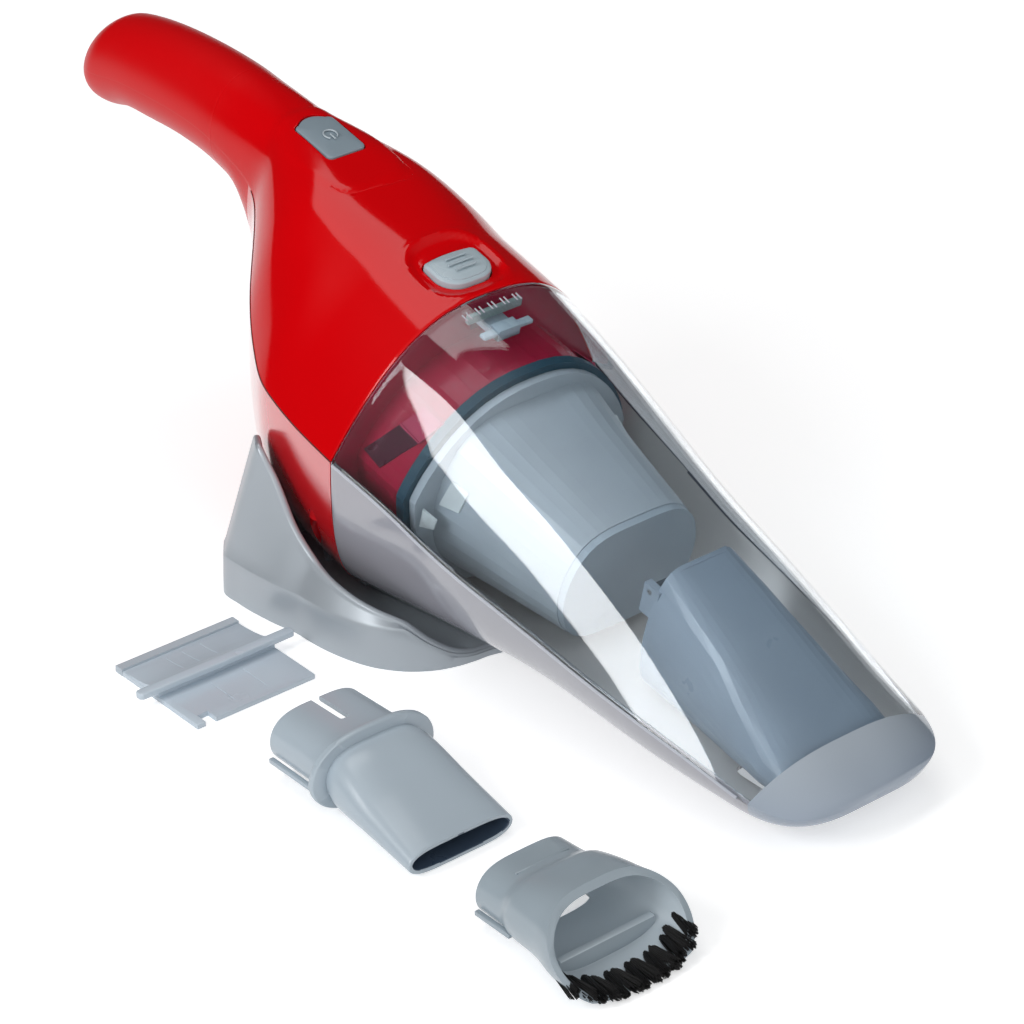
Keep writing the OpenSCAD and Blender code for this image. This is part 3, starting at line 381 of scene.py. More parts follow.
# Polished ABS: a clear, even red with a mirror-like gloss that faint clouds break up.
red_abs = moulded("abs_polished_red", "#D60209", 0.1, shade=0.06, Specular_IOR_Level=0.26)
# The handle is worn to a satin by the hand, and the gloss grows towards the body.
tree = red_abs.node_tree
along = add(tree, "ShaderNodeSeparateXYZ", _0=tree.nodes["Texture Coordinate"].outputs["Object"])
worn = add(tree, "ShaderNodeMapRange",
           {"From Min": -0.085, "From Max": -0.15, "To Min": 0.1, "To Max": 0.36,
            "interpolation_type": "SMOOTHSTEP"}, Value=along.outputs["X"])
tree.links.new(worn.outputs["Result"], tree.nodes["Principled BSDF"].inputs["Roughness"])
# The lower half is lacquered: it mirrors the table it stands on and looks almost white low down.
red_lacquer = moulded("abs_lacquered_red", "#DC1620", 0.12, shade=0.05, Coat_Weight=1.0, Coat_IOR=1.85,
                      Coat_Roughness=0.2)

# rear, length, width, radius of the rear corners, radius of the front corners, bow of the rear edge
power_shape = (-106.5, 24.5, 17, 2.2, 2.2, 2.6)
release_shape = (-24, 17, 23.5, 2.2, 8.5, 0.8)
upper = laid("body_upper_half", 104, 170, upper_point)
worked(upper, "SOLIDIFY", thickness=shell_wall, offset=-1, use_even_offset=True)
tongue_line = [
    (-100, 13), (-96.4, 15.8), (-88, 16.8), (-75.2, 17.2), (-67, 17.2), (-64.3, 16.6), (-62.6, 14.6),
    (-62, 11.5), (-62.3, 6), (-63, -2), (-63.6, -9), (-64.6, -13.2), (-67.1, -15.2), (-71, -16)]
cut(upper, prism("hole", button_outline(*power_shape, grow=0.4), 40, 75),
    prism("hole", button_outline(*release_shape, grow=0.5), 40, 75),
    wire("crease", [(u, y, roof_at(u, y) + 0.35) for u, y in tongue_line], 0.0004))
edged(upper, shell_edge)
fitted(upper, "cleaner", "red_shell", red_abs, "upper_housing")

lower = laid("body_lower_half", 104, 150, lower_point)
worked(lower, "SOLIDIFY", thickness=shell_wall, offset=-1, use_even_offset=True)
# u, y and how far the head's seat lies below the parting line
housing_screws = [(-216, 0, 6), (-52, 43, 12), (-52, -43, 12), (-13, 52, 12), (-13, -52, 12)]


def rod(name, u, y, low, high, radius):
    """A round bar that stands upright in the cleaner's frame."""
    turn = [math.tau * k / 32 for k in range(32)]
    return prism(name, [(u + radius * math.cos(a), y + radius * math.sin(a)) for a in turn], low, high)


def belly_at(u, y):
    """Height of the red belly at u and y."""
    half = section("body", body_table, u, 1, body_evening)[0]
    return body_point(u, math.pi + math.acos(-y / half))[1]


boss_radius, well_radius, below_body = 3.2, 3.0, -80
cut(lower, *[rod("boss", u, y, belly_at(u, min(abs(y) + boss_radius, 54)) + 0.6,
                 track(body_table, 2, u) - 0.4, boss_radius) for u, y, seat in housing_screws],
    operation="UNION")
cut(lower, *[rod("well", u, y, below_body, track(body_table, 2, u) - seat, well_radius)
             for u, y, seat in housing_screws],
    *[rod("contact_hole", -42, y, below_body, -60, 3.1) for y in (-10, 10)])
# Four air slots, one above the other, go through both sides behind the body.
vent_slots = []
for k in range(4):
    rear, low = -93 + 1.5 * k, 8 - 6 * k
    bpy.ops.object.select_all(action="DESELECT")
    bpy.ops.mesh.primitive_cube_add(size=1)
    slot = bpy.context.object
    slot.scale = (0.012, 0.13, 0.0022)
    slot.rotation_euler = (0, nose_dip, 0)
    slot.location = docked(rear + 6, 0, low + 1.1)
    bpy.ops.object.transform_apply(location=True, rotation=True, scale=True)
    worked(slot, "BEVEL", width=0.001, segments=3, limit_method="NONE")
    vent_slots.append(slot)
cut(lower, *vent_slots)
edged(lower, shell_edge)
fitted(lower, "cleaner", "red_shell", red_lacquer, "lower_housing")
# The handle, behind its neck, is not lacquered.
lower.data.materials.append(red_abs)
neck = -112
for face in lower.data.polygons:
    face.material_index = 1 if undocked(face.center).x < neck else 0

# A fine bead of the red, painted dark, runs along the joint between the halves: painted shade for the gap of
# the seam.
seam_shade_red = moulded("abs_red_painted_seam_shade", "#5A0408", 0.3, shade=0.1)
seams = [wire("seam", [(u, *body_point(u, angle)) for u in range(neck + 2, 1)], 0.00028)
         for angle in (0, math.pi)]
fitted(joined("housing_seam_shade_line", *seams), "cleaner", "red_shell", seam_shade_red)


def dress(material, *nodes):
    """Gives solids that stay as they are their finish."""
    for node in nodes:
        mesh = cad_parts[node].data
        mesh.materials.clear()
        mesh.materials.append(material)


def metal(name, colour, roughness, grain):
    """A drawn or turned metal: fine streaks of gloss along the part."""
    material, tree, shader, place = new_material(name, Metallic=1.0)
    streak = add(tree, "ShaderNodeMapping", {"Scale": (0.15, 1, 1)}, Vector=place)
    noise = add(tree, "ShaderNodeTexNoise", {"Scale": 1 / grain, "Detail": 3.0},
                Vector=streak.outputs["Vector"])
    vary(tree, shader, noise, colour, 0.8, roughness, 0.7, 1.4)
    return material


# Zinc-plated steel: bright grey with short drawn streaks.
zinc_steel = metal("steel_zinc_plated", "#B4B8BC", 0.28, 0.0008)
dress(zinc_steel, "housing_screws", "motor_screws", "motor_shaft", "flap_pin", "stand_screws")


# ---- Bulkhead, fan and motor -------------------------------------------------------------
# A red moulded bulkhead closes the body in front and carries the fan and its motor.  It
# is seen through the bowl; the fan and motor behind it are plain bought-in parts.

# ABS in a deeper red, seen through the smoky bowl: satin, with moulding clouds.
red_bulkhead = moulded("abs_satin_crimson", "#AE1A3C", 0.22, shade=0.18, patch=0.02)
dress(red_bulkhead, "motor_bulkhead")


def panel(name, corners, thickness):
    """A thin plate, in mm, between four corners in the cleaner's frame."""
    a, b, c, d = (Vector(corner) for corner in corners)
    piece = laid(name, 6, 6, lambda s, t: docked(*(a.lerp(b, s)).lerp(d.lerp(c, s), t)))
    worked(piece, "SOLIDIFY", thickness=thickness / 1000, offset=1)
    return piece


# Sheets painted dark crimson as shade lie in the sunk windows beside the spigot, and the ribbed plates over
# them are painted pale as lit.
crimson_painted_shade = moulded("abs_crimson_painted_shade", "#4A1226", 0.3, shade=0.2, patch=0.01)
crimson_painted_light = moulded("abs_crimson_painted_light", "#B8405E", 0.25, shade=0.12, patch=0.01)
window_shade_sheets, frame_light_sheets = [], []
for side in (1, -1):
    window_shade_sheets.append(panel("window", [(1.9, side * 48.8, 2.0), (9.6, side * 40.4, 15.4),
                                    (20.6, side * 40.8, 15.1), (11.9, side * 49.3, 0.9)], 0.3))
    frame_light_sheets.append(panel("frame_plate", [(9.8, side * 40.4, 15.6), (13.0, side * 33.8, 22.8),
                                        (23.4, side * 34.4, 23.6), (20.8, side * 40.8, 15.3)], 0.3))
    frame_light_sheets.append(wire("frame_rib", [(9.7, side * 40.6, 15.5), (20.9, side * 41.0, 15.2),
                                     (24.3, side * 34.3, 24.0)], 0.0005))
fitted(joined("bulkhead_window_shade", *window_shade_sheets), "cleaner", "red_shell", crimson_painted_shade)
fitted(joined("bulkhead_frames_painted_light", *frame_light_sheets), "cleaner", "red_shell", crimson_painted_light)

# Glass-filled nylon: dark, slightly rough, with a fine grain.
dress(moulded("nylon_glass_filled", "#33383D", 0.45, grain=0.0004, depth=0.00004), "fan_housing")
# Natural acetal: milky white with a soft gloss.
dress(moulded("acetal_natural", "#DDE0E2", 0.3), "impeller")
# Enamelled copper windings: warm brown with a varnish gloss.
dress(metal("copper_varnished", "#A86A3A", 0.35, 0.0006), "armature")
# Ferrite: nearly black, dull and slightly granular.
dress(moulded("ferrite_sintered", "#3C3E42", 0.6, grain=0.0003, depth=0.00003), "motor_magnets")
# Drawn steel of the can: grey, with streaks along it.
dress(metal("steel_drawn_can", "#A9ADB2", 0.25, 0.0010), "motor_can")
# Phenolic moulding of the end cap: cream, dull.
dress(moulded("phenolic_cream", "#E6E0CF", 0.5), "motor_end_cap")


# ---- Battery, board and contacts ---------------------------------------------------------
# Two lithium cells lie end to end in the handle in a nylon carrier, with a small circuit
# board and the push switch over them, and two sprung charging contacts in the belly.

# Shrink sleeve over the cells: plain green film with a light gloss.
dress(moulded("pvc_sleeve_green", "#2F8D5A", 0.3), "battery_cell_rear", "battery_cell_front")
# Black nylon: satin, with a fine grain.
dress(moulded("nylon_black", "#26292C", 0.45, grain=0.0004, depth=0.00003),
      "battery_carrier", "power_switch")
# Glass-epoxy board under green solder mask, with the weave faintly showing.
dress(moulded("glass_epoxy_green", "#1F6A3C", 0.3, grain=0.0005, depth=0.00002), "control_board")
# Gold-flashed brass of the contacts: yellow and smooth.
dress(metal("brass_gold_flashed", "#D0A850", 0.2, 0.0008), "charge_contacts", "stand_contacts")


# ---- Power button ------------------------------------------------------------------------
# A grey ABS push button with a gently bowed rear edge, flush in the roof of the handle,
# with a raised power symbol.  It pushes a switch on the board below.

# Satin ABS: blue grey, with the soft gloss of a spark-eroded tool.
grey_abs = moulded("abs_satin_blue_grey", "#8A99A3", 0.33, shade=0.05, grain=0.00035, depth=0.000012)


def crowned(name, outline, low, height, dome, lip):
    """A button: an upright side, a rounded lip and a top that is a little domed."""
    count = len(outline)
    centre = [sum(p[k] for p in outline) / count for k in (0, 1)]
    reach = min(math.dist(p, centre) for p in outline)
    # how far in from the outline, as a share, and how high
    rows = [(1, low), (0, low), (0, height - lip)]
    rows += [(lip / reach * (1 - math.cos(a)), height - lip * (1 - math.sin(a)))
             for a in (0.4, 0.8, 1.2, 1.57)]
    rows += [(k / 7, height + dome * (1 - (1 - k / 7) ** 2))
             for k in range(1, 8) if k / 7 > lip / reach]

    def skin(s, t):
        inward, w = rows[round(t * (len(rows) - 1))]
        u, y = outline[round(s * count) % count]
        return docked(centre[0] + (u - centre[0]) * (1 - inward),
                      centre[1] + (y - centre[1]) * (1 - inward), w)

    return turned_out(laid(name, count, len(rows) - 1, skin))


button_play = 0.1
power_cap = button_outline(*power_shape, grow=-button_play)
power = crowned("power_button_cap", power_cap, 50, 59.6, 0.5, 0.5)
fitted(power, "power_key", "grey_button", grey_abs, "power_button", angle=50)
stem = rod("power_button_stem", -95, 0, 40.1, 50.4, 1.85)
fitted(stem, "power_key", "grey_button", grey_abs)
symbol_u, symbol_w, symbol_radius, symbol_line = -93, 60.6, 2.6, 0.00032
symbol_arc = [(symbol_u + symbol_radius * math.sin(a), symbol_radius * math.cos(a), symbol_w)
              for a in [math.radians(90 + 38 + 284 * k / 28) for k in range(29)]]
symbol = wire("power_symbol", symbol_arc, symbol_line)
bar = wire("power_symbol_bar", [(symbol_u, 0, symbol_w), (-89.8, 0, symbol_w)], symbol_line)
# The symbol is polished in the tool, and its colour is painted paler than the button: a painted glint on the
# satin.
symbol_glint_abs = moulded("abs_polished_grey_painted_glint", "#B9C4CB", 0.15)
fitted(joined("power_symbol", symbol, bar), "power_key", "grey_button", symbol_glint_abs)


# ---- Release button ----------------------------------------------------------------------
# A lighter grey push button in a moulded dish at the front of the roof.  It carries an arm
# whose hook holds the rim of the bowl, and has three raised bars for the thumb.

# Satin ABS, paler than the power button.
pale_abs = moulded("abs_satin_pale_grey", "#B4C3CB", 0.28, shade=0.05, grain=0.00035, depth=0.00001)
release_cap = button_outline(*release_shape, grow=-button_play)
release = crowned("release_button_cap", release_cap, 46, 53.0, 1.2, 0.8)
fitted(release, "release_key", "grey_button", pale_abs, "release_button", angle=50)
bars = [wire("thumb_bar", [(u, -half, 54.75), (u, half, 54.75)], 0.0004)
        for u, half in ((-19, 4.5), (-16, 5.5), (-13, 4.5))]
fitted(joined("thumb_bars", *bars), "release_key", "grey_button", pale_abs)


def block(name, corner, size, bevel=0.0, place=docked, segments=2):
    """A box in the cleaner's frame, from its low corner, in mm, with its edges rounded."""
    u, y, w = corner
    piece = prism(name, [(u, y), (u + size[0], y), (u + size[0], y + size[1]), (u, y + size[1])],
                  w, w + size[2], place)
    if bevel:
        worked(piece, "BEVEL", width=bevel / 1000, segments=segments, limit_method="NONE")
    return piece


arm_parts = [block("arm", (-23, -5, 41), (12, 10, 6), 0.3),
             block("arm", (-23, -5, 41), (37, 10, 2.5), 0.3),
             block("hook", (9, -5, 41), (5, 10, 4.4), 0.3),
             block("hook_wing", (10.5, -11, 43.2), (3.2, 22, 1.6), 0.5)]
fitted(joined("release_arm", *arm_parts), "release_key", "grey_button", pale_abs)


# ---- Button springs ----------------------------------------------------------------------
# Small coils of steel wire under both buttons, wound with open turns.  Their lower ends
# rest on the switch and on the bulkhead, and a press squeezes them to about half.


def coil(name, joint, centre, low, high, mean, gauge, turns):
    """A compression spring of a mean radius and a wire radius, in place of the solid named after its joint.
    """
    per_turn = 20
    steps = per_turn * turns
    rise = high - low - 2 * gauge
    line = [(centre + mean * math.cos(math.tau * k / per_turn), mean * math.sin(math.tau * k / per_turn),
             low + gauge + rise * k / steps) for k in range(steps + 1)]
    spring = wire(name, line, gauge / 1000)
    fitted(spring, "cleaner", "steel", zinc_steel, joint.replace("press", "spring"))
    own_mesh(spring)


coil("power_button_spring", "power_press", -95, 44.1, 49.9, 3.6, 0.3, 5)
coil("release_button_spring", "release_press", -12.5, 34.1, 40.9, 3.0, 0.25, 6)


# ---- Dust bowl ---------------------------------------------------------------------------
# One deep moulding of smoky clear SAN whose lower side is painted an opaque milky grey lilac,
# a painted reflection of the floor, with a solid grey nose and a mouth cut in its floor.  It clips over the
# red bulkhead.

bowl_table = [
    (0, 52, 0, 62, -68), (27, 49, -2.4, 59, -59.5), (54, 42, -5, 57.4, -49.5), (95, 32.4, -7, 52.6, -38.5),
    (127, 25.6, -7, 50.2, -33), (154, 18, -6.8, 47.4, -29), (177, 10.4, -7.2, 44, -25),
    (197, 4, -7.8, 41.5, -20.5), (219, -2, -8.2, 40, -15)]
bowl_tip = bowl_table[-1][0]
bowl_evening = 16
nose_round = 34
tip_least = 0.1
seam_gap = 0.5


def bowl_point(u, angle):
    """Point of the bowl's skin at u; the tip keeps a little size, so that its faces stay whole."""
    start = max(0, 1 - (bowl_tip - u) / nose_round)
    share = max(0, 1 - start ** 3.4) ** (1 / 3.4)
    half, roof, middle, belly = section("bowl", bowl_table, u, share, bowl_evening)
    late = ease(100, bowl_tip, u)
    power, rise = (2.6 + 0.2 * late, 1) if angle <= math.pi else (6.5 + 2 * late, 1 - 0.3 * late)
    top = max(middle + tip_least, roof) if angle <= math.pi else min(middle - tip_least, belly)
    reach = max(0, 1 - abs(math.cos(angle)) ** power) ** rise
    return max(tip_least, half) * math.cos(angle), middle + (top - middle) * reach


def bowl_station(t):
    """Stations crowd round the nose."""
    if t < 0.7:
        return seam_gap + (bowl_tip - nose_round - seam_gap) * t / 0.7
    return bowl_tip - nose_round * (1 - math.sin((t - 0.7) / 0.3 * math.pi / 2) ** 0.6)


def bowl_skin(s, t):
    """The skin, once round from the +y edge over the roof."""
    u = bowl_station(t)
    return docked(u, *bowl_point(u, math.tau * (s % 1)))


def clear_plastic(name, tint, roughness, through):
    """A clear moulding: it tints what lies behind, bends it a little, and lets the lamps in."""
    material, tree, shader, place = new_material(name, Transmission_Weight=1.0, IOR=1.1,
                                                 Coat_Weight=1.0, Coat_Roughness=roughness)
    cloud = add(tree, "ShaderNodeTexNoise", {"Scale": 25.0, "Detail": 3.0}, Vector=place)
    vary(tree, shader, cloud, tint, 0.94, roughness, 0.5, 1.5)
    open_glass = add(tree, "ShaderNodeBsdfTransparent", {"Color": linear(through)})
    ray = add(tree, "ShaderNodeLightPath")
    mix = add(tree, "ShaderNodeMixShader", _0=ray.outputs["Is Shadow Ray"], _1=shader.outputs["BSDF"],
              _2=open_glass.outputs["BSDF"])
    tree.links.new(mix.outputs["Shader"], tree.nodes["Material Output"].inputs["Surface"])
    return material


# Smoky SAN: a cool grey tint and a mirror surface, so lamps show as hard white streaks.
smoky_san = clear_plastic("san_smoky_clear", "#E3E9EE", 0.02, "#EEF2F5")
# The side below the ledge is painted an opaque milky grey lilac with a high gloss: a painted reflection of
# the white floor.
san_side_painted_reflection = moulded("san_side_painted_floor_reflection", "#A9A9B2", 0.12, shade=0.1, patch=0.06, Coat_Weight=0.5)
# The nose is solid: slate grey with the gloss of a polished tool, and painted shade makes it darker and
# bluer towards its foot.
nose_san = moulded("san_slate_nose", "#B2BCC6", 0.12, shade=0.06, patch=0.04, Coat_Weight=0.6)
tree = nose_san.node_tree
# Painted shade: the colour darkens to a blue slate towards the foot of the nose.
height = add(tree, "ShaderNodeSeparateXYZ", _0=tree.nodes["Texture Coordinate"].outputs["Object"])
foot_painted_shade = add(tree, "ShaderNodeMapRange",
           {"From Min": 0.034, "From Max": 0.004, "interpolation_type": "SMOOTHSTEP"},
           Value=height.outputs["Z"])
tone = add(tree, "ShaderNodeMix", {"data_type": "RGBA", 7: linear("#8796AA")},
           _0=foot_painted_shade.outputs["Result"], _6=tree.nodes["Mix"].outputs[2])
tree.links.new(tone.outputs[2], tree.nodes["Principled BSDF"].inputs["Base Color"])

bowl = laid("bowl_clear_shell", 168, 150, bowl_skin)
worked(bowl, "SOLIDIFY", thickness=0.002, offset=-1, use_even_offset=False)
cut(bowl, block("mouth_tool", (174, -21, -80), (30, 42, 68), 4, segments=3))
edged(bowl, 0.0003, sharper_than=60)
# Seen from inside, the lower side is painted warm and pale: painted light, as if lit through it.
inside_light_san = moulded("san_side_inside_painted_light", "#F4F0EC", 0.3, shade=0.06, patch=0.06)
for material in (smoky_san, san_side_painted_reflection, nose_san, inside_light_san):
    bowl.data.materials.append(material)
clear, outer, nose, inner = range(4)
nose_from, rim_to, ledge_drop = 199, 3, 0.8
# Faces of the lower side that look inwards get the painted light, the rest below the ledge the painted floor
# reflection.
for face in bowl.data.polygons:
    own = undocked(face.center)
    ledge = track(bowl_table, 2, own.x) - ledge_drop
    inwards = -face.normal.y * own.y - face.normal.z * (own.z - ledge)
    side = inner if inwards > 0 and own.x > rim_to else outer
    face.material_index = nose if own.x > nose_from else side if own.z < ledge else clear
fitted(bowl, "bowl", "clear_bowl", None, "dust_bowl", angle=40)

# A raised bead runs along the ledge on both sides, painted pale all over as a highlight line.
beads = []
for side in (-1, 1):
    line = [(u, side * (bowl_point(u, 0)[0] - 0.1), even("bowl", bowl_table, 2, u, bowl_evening) - 0.9)
            for u in [1 + 3.96 * k for k in range(50)]]
    beads.append(wire("ledge_bead", line, 0.0006))
fitted(joined("ledge_beads", *beads), "bowl", "clear_bowl", moulded("san_bead_painted_highlight", "#C4C8D2", 0.12))

# Rib that the hook holds, and the row of short ticks moulded in the rim.
catch = block("bowl_catch_rib", (3.5, -12, 45), (2, 24, 3.4), 0.3)
fitted(catch, "bowl", "clear_bowl", moulded("san_tinted_rib", "#93A3A0", 0.2))
rim_half = bowl_table[0][3]
ticks = []
for k in range(5):
    for side in (-0.9, 0.9):
        y = -14 + 5.6 * k + side
        line = [(u, y, bowl_point(u, math.acos(y / rim_half))[1] - 0.05) for u in (4.4, 6, 7.6)]
        ticks.append(wire("tick", line, 0.00028))
fitted(joined("rim_ticks", *ticks), "bowl", "clear_bowl", moulded("san_tick", "#C3BCC6", 0.2))


# ---- Intake duct and flap ----------------------------------------------------------------
# A slate grey duct leads from the mouth in the nose back into the bowl.  A rubber flap
# on a steel pin hangs over its rear window and keeps the dust in.

# Tinted ABS: slate, with a soft gloss.
slate_abs = moulded("abs_slate", "#9DABB8", 0.3, shade=0.15, patch=0.02)
dress(slate_abs, "intake_duct")
# Soft rubber: dark blue grey and dull.
dress(moulded("rubber_slate", "#34424E", 0.6, grain=0.0004, depth=0.00003), "flap_valve")


# ---- Filter ------------------------------------------------------------------------------
# A teal rubber seal, a light grey plastic frame with a wide flange, a pleated paper insert
# and a front cap, pushed as one unit onto the spigot of the bulkhead.

# Rubber of the seal: dark teal, dull.
dress(moulded("rubber_teal", "#1E4656", 0.5), "filter_seal")
# Polypropylene: light grey, waxy.
pale_pp = moulded("polypropylene_light_grey", "#B6BFC5", 0.35, shade=0.12, patch=0.015)
dress(pale_pp, "filter_frame")
dress(moulded("polypropylene_mid_grey", "#AEBAC2", 0.35, shade=0.12, patch=0.015), "filter_front_cap")
# Pleated filter paper: off-white fibres.
dress(moulded("paper_filter", "#E8E5DA", 0.9, shade=0.1, patch=0.004, grain=0.0003, depth=0.00006),
      "filter_pleats")

# Pale grips on the flange, by which the filter is turned for cleaning.
grips = []
for side in (1, -1):
    grips.append(panel("grip", [(33.6, side * 39.0, -4.2), (36.4, side * 37.4, 7.6),
                                (43.4, side * 35.6, 6.6), (42.2, side * 37.4, -2.4)], 0.8))
    grips.append(panel("grip", [(32.4, side * 45.4, -12.4), (32.8, side * 45.6, -4.2),
                                (38.4, side * 43.6, -6.2), (37.6, side * 43.4, -11.0)], 0.8))
fitted(joined("filter_grips", *grips), "filter", "filter_plastic",
       moulded("polypropylene_natural", "#DDE3E2", 0.3))


# ---- Charging stand ----------------------------------------------------------------------
# A cradle of light grey ABS: an upright plinth whose wall rises on both sides into a
# rounded rim that follows the cleaner's belly.  A bottom plate with four rubber feet
# carries two ribs, the contacts and the inlet for the charger's plug.

# angle from the front, radius at the floor, height of the rim, how far the rim leans in
stand_table = [
    (0, 49, 3.6, 1), (30, 54, 3.6, 1), (36, 57, 3.8, 1.2), (42, 60.5, 5.2, 1.6), (51, 65, 11, 2),
    (60, 68, 18.5, 2.4), (70, 69.7, 21.5, 3), (80, 70.2, 23.5, 4), (96, 71.5, 28, 6), (107, 77, 37, 9),
    (117, 84, 52, 12), (124, 89, 61, 12.7), (130, 89, 60, 12), (135, 86, 44, 9), (142, 80.5, 27, 5.2),
    (150, 75, 20, 2.8), (165, 69.5, 17.8, 2.2), (180, 68, 17.4, 2)]
stand_wall = 3
plinth_height, plinth_step = 17, 1.1
rim_round = 1.4


def stand_profile(side):
    """Radius and height round the wall at an angle from the front: up, over the rim and down inside."""
    foot_r, rim, lean = (track(stand_table, column, side) for column in (1, 2, 3))
    plinth = min(plinth_height, rim - 0.8)
    points = [(foot_r, 0), (foot_r - 0.1, 0.35 * plinth), (foot_r - 0.3, 0.75 * plinth),
              (foot_r - 0.5, plinth - 1.2), (foot_r - 0.8, plinth - 0.5), (foot_r - plinth_step, plinth)]
    top_r = foot_r - lean - 1.9
    for share in [k / 6 for k in range(1, 6)]:
        points.append((foot_r - plinth_step + (top_r + rim_round - foot_r + plinth_step) * share,
                       plinth + (rim - rim_round - plinth) * share))
    for turn in [math.pi * k / 8 for k in range(9)]:
        points.append((top_r + rim_round * math.cos(turn), rim - rim_round + rim_round * math.sin(turn)))
    for share in [k / 5 for k in range(1, 5)]:
        points.append((top_r - rim_round + (foot_r - stand_wall - 0.9 - top_r + rim_round) * share,
                       rim - rim_round + (plinth - 0.6 - rim + rim_round) * share))
    return points + [(foot_r - stand_wall - 0.5, 0.5 * plinth), (foot_r - stand_wall - 0.4, 0), (foot_r, 0)]


stand_rows = len(stand_profile(90))


def stand_skin(s, t):
    """The wall, once round the stand; its two sides are alike."""
    turn = math.tau * (t % 1)
    side = math.degrees(turn if turn <= math.pi else math.tau - turn)
    radius, height = stand_profile(side)[round(s * (stand_rows - 1))]
    return Vector((radius * math.cos(turn), radius * math.sin(turn), height)) / 1000


# Silver-grey ABS with fine aluminium flake: broad soft reflections under a clear gloss.
stand_abs = moulded("abs_silver_flake", "#A8B0B7", 0.4, shade=0.04, patch=0.05, Metallic=0.35,
                    Coat_Weight=0.35, Coat_Roughness=0.3)
stand = turned_out(laid("stand_wall", stand_rows - 1, 360, stand_skin))
# The hole for the charger's plug, low in the back.
bpy.ops.object.select_all(action="DESELECT")
bpy.ops.mesh.primitive_cylinder_add(vertices=40, radius=0.0047, depth=0.012, location=(-0.066, 0, 0.0086),
                                    rotation=(0, math.pi / 2, 0))
cut(stand, bpy.context.object)
fitted(stand, "stand", "grey_nozzle", stand_abs, "stand_shell", angle=45)
# Satin ABS of the bottom plate: plain grey.
dress(moulded("abs_satin_stand", "#9FA8AF", 0.35, shade=0.08, grain=0.0005, depth=0.00002), "stand_base")
# Moulded rubber feet: dark, dull and slightly rough.
dress(moulded("rubber_dark_grey", "#3A3D40", 0.7, grain=0.0005, depth=0.00003), "stand_feet")
# Black nylon body of the inlet: a soft gloss.
dress(moulded("nylon_inlet", "#2A2C2F", 0.35), "charge_inlet")


# ---- Squeegee nozzle ---------------------------------------------------------------------
# A flat scraper of grey ABS with a rubber lip.  Its back swells up to a cross fin whose
# ends stand out on both sides, and a small clip is cut in one corner.


def laid_down(x0, y0):
    """Gives the frame of a loose nozzle: x along it, y across, z up, in mm."""
    return lambda x, y, z: Vector((x0 + x, y0 + y, z)) / 1000


# Satin ABS of the loose nozzles: light blue grey, with the fine grain of the tool.
tool_grain = {"grain": 0.0004, "depth": 0.000008}
nozzle_abs = moulded("abs_satin_light_grey", "#B4C1CB", 0.25, shade=0.05, **tool_grain)
on_squeegee = laid_down(-30, -110)
plate = block("squeegee_board", (4, -25.5, 0), (45, 51, 2), 0.3, on_squeegee)
engraving = 0.0003
cut(plate, block("notch", (44, -22, -1), (6, 4.5, 4.2), 0.0, on_squeegee),
    *[wire("engraved", [(30, y, 2.1), (44, y, 2.1)], engraving, on_squeegee) for y in (-6, 8)])
swell = [(4.6, 0.3), (26, 0.3), (26, 5.6), (25, 6.0), (23.4, 5.5), (21, 4.5), (18, 3.6), (14, 2.9),
         (9, 2.4), (4.6, 2.1)]
back = prism("squeegee_back", swell, -25.3, 25.3, lambda x, z, y: on_squeegee(x, y, z))
edged(back, 0.0004)
cut(back, *[wire("engraved", [(7, y, 2.42), (9, y, 2.55), (14, y, 3.05), (18, y, 3.75)], engraving,
                 on_squeegee) for y in (-9, -2, 6)])
fin_outline = [(23.6, -33), (24.6, -33.8), (26.4, -33.8), (27.6, -32.6), (28, 0), (27.6, 32.6), (26.6, 33),
               (24.6, 33), (23.6, 32.4)]
fin = prism("squeegee_fin", fin_outline, 4.4, 7, on_squeegee)
edged(fin, 0.0007, segments=3, sharper_than=30)
squeegee = joined("squeegee_scraper", plate, back, fin)
# The scraper is the palest of the three.
squeegee_abs = moulded("abs_satin_pale_blue_grey", "#C6D3DE", 0.25, shade=0.05, **tool_grain)
fitted(squeegee, "squeegee", "grey_nozzle", squeegee_abs, "squeegee_plate")
# Thermoplastic rubber of the lip: grey and dull.
dress(moulded("rubber_mid_grey", "#BCC7D0", 0.55, grain=0.0005, depth=0.00002), "squeegee_lip")


# ---- Crevice nozzle ----------------------------------------------------------------------
# A long flat nozzle moulded in one piece with an oval collar and a slotted spigot that
# is pushed into the mouth of the cleaner.


def ring(half, height, middle, power, angle):
    """Point of a round-cornered section."""
    reach = max(0, 1 - abs(math.cos(angle)) ** power) ** 0.5
    return half * math.cos(angle), middle + math.copysign(height * reach, math.sin(angle))


def nozzle_skin(table, place, first, last):
    """Skin through stations of x, half width, half height, middle and corner power."""

    def skin(s, t):
        x = first + (last - first) * t
        half, height, middle, power = (track(table, column, x) for column in (1, 2, 3, 4))
        turn = math.tau * (s % 1)
        spread = turn - 0.1 * math.sin(2 * turn)
        return place(x, *ring(half, height, middle, power, spread))

    return skin


on_crevice = laid_down(58, -114)
crevice_table = [(0, 19.5, 10, 13.5, 3.8), (31, 20.1, 10.6, 14, 3.8), (37, 21.5, 11.4, 13, 3.6),
                 (55, 22, 8, 9.5, 4), (78, 22, 4.9, 5, 5)]
crevice = laid("crevice_nozzle_body", 120, 78, nozzle_skin(crevice_table, on_crevice, 0, 78))
worked(crevice, "SOLIDIFY", thickness=0.0018, offset=-1)
edged(crevice, 0.0005, segments=3)
cut(crevice, block("slot_tool", (-2, -1.8, 17), (19, 3.6, 12), 0.8, on_crevice))


